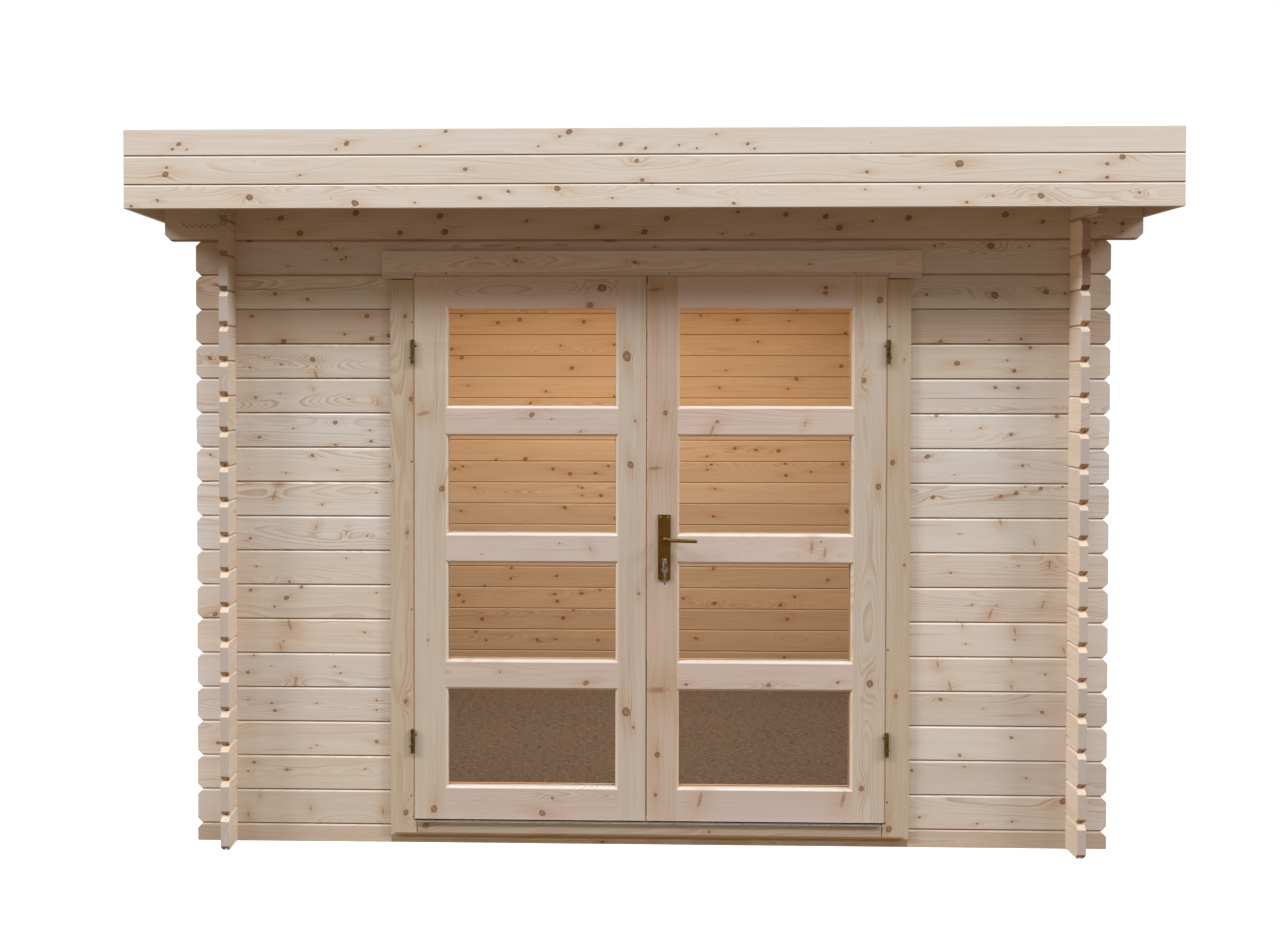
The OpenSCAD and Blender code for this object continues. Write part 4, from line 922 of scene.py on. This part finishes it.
def rebate_strips():
    """Thin laths on the jambs and the head that close the gap behind the edges of the leaves."""
    s = Solid("rebate_strips")
    # painted light: the laths are lightened and warmed so that the gaps beside the leaves read as lit wood
    for sg in (-1, 1):
        fs = new_board(s, box_pts(*sorted((sg * 0.7725, sg * 0.7768)), -1.4075, -1.3955), 2, 0.0795, 1.8798, 0.0003)
        s.paint(fs, 2, (sg * 0.7745, -1.4075, 0), rng.uniform(0, 10), (1.4, 1.22, 0.98), across=0)
    fs = new_board(s, box_pts(-1.4105, -1.3955, 1.8768, 1.8798), 0, -0.7722, 0.7722, 0.0003)
    s.paint(fs, 0, (0, -1.4105, 1.878), rng.uniform(0, 10), (1.2, 1.06, 0.86), across=2)
    s.finish("house", DOOR)


rebate_strips()


def screw_head(bm, x, z, y, r=0.0036, turn=0.3):
    """Countersunk cross-recess head, seen on a vertical face; y is the face it sits in."""
    n = 24
    def ring(rad, dy):
        return [bm.verts.new((x + rad * math.cos(2 * math.pi * i / n), y + dy, z + rad * math.sin(2 * math.pi * i / n))) for i in range(n)]
    rings = [ring(r * 1.0, 0.0004), ring(r, -0.0002), ring(r * 0.93, -0.0004), ring(r * 0.6, -0.0005)]
    for a, b in zip(rings, rings[1:]):
        for i in range(n):
            j = (i + 1) % n
            bm.faces.new((a[i], a[j], b[j], b[i]))
    # the cross: a recess with four arms inside the flat middle
    arm, w = r * 0.52, r * 0.13
    pts = [(w, w), (arm, w), (arm, -w), (w, -w), (w, -arm), (-w, -arm), (-w, -w), (-arm, -w), (-arm, w), (-w, w), (-w, arm), (w, arm)]
    ca, sa = math.cos(turn), math.sin(turn)
    top = [bm.verts.new((x + ca * p - sa * q, y - 0.0005, z + sa * p + ca * q)) for p, q in pts]
    low = [bm.verts.new((x + (ca * p - sa * q) * 0.8, y + 0.0009, z + (sa * p + ca * q) * 0.8)) for p, q in pts]
    for i in range(12):
        j = (i + 1) % 12
        bm.faces.new((top[i], top[j], low[j], low[i]))
    bm.faces.new(low)
    edge_a = [bm.edges.get((rings[-1][i], rings[-1][(i + 1) % n])) for i in range(n)]
    edge_b = [bm.edges.get((top[i], top[(i + 1) % 12])) for i in range(12)]
    bmesh.ops.triangle_fill(bm, use_beauty=True, edges=edge_a + edge_b)


def screws():
    bm = bmesh.new()
    r = random.Random(8)
    for x, z, y in ((-0.781, 1.726, -1.413), (-0.781, 1.268, -1.413), (-0.782, 0.779, -1.413), (-0.783, 0.161, -1.413),
                    (0.781, 1.711, -1.413), (0.781, 0.654, -1.413), (0.781, 0.153, -1.413),
                    (-0.667, 1.886, -1.413), (0.065, 1.886, -1.413), (0.669, 1.887, -1.413)):
        screw_head(bm, x, z, y, 0.0034, r.uniform(0, 1.5))
    bmesh.ops.recalc_face_normals(bm, faces=bm.faces)
    me = bpy.data.meshes.new("trim_screws")
    bm.to_mesh(me)
    bm.free()
    me.materials.append(SCREW)
    link("trim_screws", me, "house")


screws()


def marks():
    """Pitch pockets and a drying crack along the grain, nail holes, and dark patches at the ends of the milled joints
    that are painted shade, all as thin inlays.
    """
    s = Solid("timber_marks")

    def inlay(pts, y, tint, t=0.0004, axis=1):
        tmp = bmesh.new()
        prism(tmp, pts, axis, y - t, y + 0.001)
        me = bpy.data.meshes.new("tmp")
        tmp.to_mesh(me)
        tmp.free()
        before = set(s.bm.faces)
        s.bm.from_mesh(me)
        bpy.data.meshes.remove(me)
        s.bm.normal_update()
        fs = [q for q in s.bm.faces if q not in before]
        s.paint(fs, 0, (0, y, pts[0][1]), r.uniform(0, 10), tint, across=2)

    def lens(x, z, length, height, sag=0.0, n=14):
        up = [(x + length * (i / n - 0.5), z + sag * (1 - (2 * i / n - 1) ** 2) + height / 2 * math.sin(math.pi * i / n) ** 0.7) for i in range(n + 1)]
        lo = [(x + length * (i / n - 0.5), z + sag * (1 - (2 * i / n - 1) ** 2) - height / 2 * math.sin(math.pi * i / n) ** 0.7) for i in range(1, n)]
        return up + lo[::-1]

    def disc(x, z, rad, n=12):
        return [(x + rad * math.cos(2 * math.pi * i / n), z + rad * math.sin(2 * math.pi * i / n)) for i in range(n)]

    r = random.Random(31)
    face = -OUT
    for x, z, length in ((-0.5172, 1.9807, 0.092), (-0.2917, 1.9803, 0.062), (-0.1291, 1.9931, 0.046), (0.1789, 1.9664, 0.059), (0.9502, 1.9821, 0.032)):
        inlay(lens(x, z, length, 0.0028, r.uniform(-0.001, 0.001)), face, (0.40, 0.30, 0.22))
    # crack in the right-hand wall
    inlay(lens(1.1037, 1.4770, 0.489, 0.0016, 0.001, 30), face, (0.42, 0.30, 0.20))
    # a crack and its faint run-out in the uppermost course on the left, a nick in the joint above it
    inlay(lens(-1.2930, 1.8360, 0.163, 0.0030, 0.0, 20), face, (0.52, 0.38, 0.27))
    inlay(lens(-1.0371, 1.8355, 0.372, 0.0012, 0.001, 24), face, (0.68, 0.55, 0.43))
    inlay(lens(-1.3204, 1.9943, 0.020, 0.0042), face, (0.22, 0.16, 0.12))
    # finger joint in the end of the eaves beam
    zig = [(-1.5405 + 0.0205 * (i // 2) + (0.0125 if i % 2 else 0.0), 2.0532 - (0.0135 if i % 2 else 0.0)) for i in range(12)]
    for p, q in zip(zig, zig[1:]):
        w = 0.0010
        inlay([(p[0] - w, p[1]), (p[0] + w, p[1]), (q[0] + w, q[1]), (q[0] - w, q[1])], face, (0.44, 0.32, 0.24))
    inlay(disc(zig[0][0], zig[0][1] - 0.002, 0.0024), face, (0.34, 0.22, 0.16))
    for x, z in ((-0.769, 1.8836), (0.7802, 1.8830), (-0.7784, 0.0913), (0.7735, 0.0843)):
        inlay(disc(x, z, 0.0024), -1.413, (0.24, 0.20, 0.17))
    # painted shade: dark inlays at the ends of the milled joints in the log ends, for the shaded hollows of the grooves
    for sg in (-1, 1):
        for k in range(1, 17):
            x, a, b, z = sg * 1.381 + 0.0035 + r.uniform(-0.002, 0.003), 0.0015, r.uniform(0.007, 0.009), k * LH
            inlay([(-1.483 - a, z + a), (-1.483 - b, z + b), (-1.4834 - b, z + b - 0.0004), (-1.4834 - a, z + a - 0.0004)], x + 0.0025, (0.30, 0.23, 0.17), 0.006, 0)
    s.finish("house", LOG)


marks()


def plate_screws():
    bm = bmesh.new()
    lo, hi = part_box("lock_plate_outside")
    for x, turn in ((lo.x + 0.0078, 0.5), (hi.x - 0.0078, 1.1)):
        screw_head(bm, x, hi.z - 0.0075, lo.y, 0.0030, turn)
    bmesh.ops.recalc_face_normals(bm, faces=bm.faces)
    me = bpy.data.meshes.new("plate_screws")
    bm.to_mesh(me)
    bm.free()
    me.materials.append(SCREW_BRONZE)
    link("plate_screws", me, "right_leaf")


plate_screws()

# ------------------------------------------- CAD nodes that keep their shape --
for name, mat in (("left_leaf_glass", GLASS), ("right_leaf_glass", GLASS), ("frame_hinges", HINGE), ("left_leaf_hinges", HINGE),
                  ("right_leaf_hinges", HINGE), ("threshold_plate", ALU), ("lock_plate_outside", BRONZE),
                  ("lock_plate_inside", BRONZE), ("lock_cylinder", KEYM), ("keys", KEYM), ("lever_handles", BRONZE_LEVER),
                  ("floor_sheet", FLOOR)):
    o = nodes[name]
    if len(o.material_slots) == 0:
        o.data.materials.append(mat)
    for sl in o.material_slots:
        sl.material = mat


# ------------------------------------------------------------ light, stage --
GROUND = (0.275, 0.200, 0.138)
SKY = (0.270, 0.222, 0.175)


def make_light():
    world = bpy.data.worlds.new("studio")
    scene.world = world
    world.use_nodes = True
    nt = world.node_tree
    nt.nodes.clear()
    out = nt.nodes.new("ShaderNodeOutputWorld")
    seen = nt.nodes.new("ShaderNodeBackground")
    seen.inputs[0].default_value = (1, 1, 1, 1)
    seen.inputs[1].default_value = 1.05
    # the ambient light is warm, and a little stronger from the ground
    tc = nt.nodes.new("ShaderNodeTexCoord")
    sep = nt.nodes.new("ShaderNodeSeparateXYZ")
    nt.links.new(tc.outputs["Generated"], sep.inputs[0])
    rng_ = nt.nodes.new("ShaderNodeMapRange")
    rng_.inputs["From Min"].default_value = -0.08
    rng_.inputs["From Max"].default_value = 0.08
    nt.links.new(sep.outputs["Z"], rng_.inputs["Value"])
    mc = nt.nodes.new("ShaderNodeMix")
    mc.data_type = "RGBA"
    nt.links.new(rng_.outputs[0], mc.inputs[0])
    mc.inputs[6].default_value = (*GROUND, 1)
    mc.inputs[7].default_value = (*SKY, 1)
    lit = nt.nodes.new("ShaderNodeBackground")
    nt.links.new(mc.outputs[2], lit.inputs[0])
    lit.inputs[1].default_value = 1.0
    lp = nt.nodes.new("ShaderNodeLightPath")
    mx = nt.nodes.new("ShaderNodeMixShader")
    nt.links.new(lp.outputs["Is Camera Ray"], mx.inputs[0])
    nt.links.new(lit.outputs[0], mx.inputs[1])
    nt.links.new(seen.outputs[0], mx.inputs[2])
    nt.links.new(mx.outputs[0], out.inputs[0])

    def sun(name, elevation, azimuth, strength, angle, color):
        d = bpy.data.lights.new(name, "SUN")
        d.energy = strength
        d.angle = math.radians(angle)
        d.color = color
        o = bpy.data.objects.new(name, d)
        e, a = math.radians(elevation), math.radians(azimuth)
        to = Vector((math.sin(a) * math.cos(e), -math.cos(a) * math.cos(e), math.sin(e)))  # towards the light
        o.rotation_euler = to.to_track_quat("Z", "Y").to_euler()
        root.objects.link(o)

    # a fan of soft keys in front, all with the same fall on the front wall
    for i, (az, e) in enumerate(((-64, 1.71), (-34, 0.70), (0, 0.27), (34, 0.68), (64, 1.66))):
        el = math.degrees(math.atan(math.tan(math.radians(55.5)) * math.cos(math.radians(az))))
        sun("key_%d" % i, el, az, e, 16, (0.765, 0.862, 1.0))
    sun("back_fill", 45, 165, 0.5, 40, (1.0, 0.98, 0.95))

    # warm light inside the room
    d = bpy.data.lights.new("room", "AREA")
    d.shape = "RECTANGLE"
    d.size, d.size_y = 2.2, 2.0
    d.energy = 37
    d.color = (1.0, 0.79, 0.58)
    o = bpy.data.objects.new("room", d)
    o.location = (0, -0.1, 2.03)
    root.objects.link(o)

    bpy.ops.mesh.primitive_plane_add(size=60, location=(0, 0, -0.0015))
    g = bpy.context.object
    g.name = "studio_floor"
    t = Tree("studio_floor")
    co = t.nt.nodes.new("ShaderNodeTexCoord").outputs["Object"]
    n = t.noise(co, scale=0.6, detail=3.0)
    bs = t.shade(t.mix(n, srgb(252, 252, 252), srgb(249, 249, 248)), 0.9, specular=0.1)
    bs.inputs["Emission Color"].default_value = (1, 1, 1, 1)
    bs.inputs["Emission Strength"].default_value = 0.5
    g.data.materials.append(t.mat)
    g.visible_diffuse = False
    g.visible_glossy = False


make_light()
scene.view_settings.view_transform = "Standard"
scene.view_settings.look = "None"
scene.view_settings.exposure = 0.0
scene.view_settings.gamma = 1.0
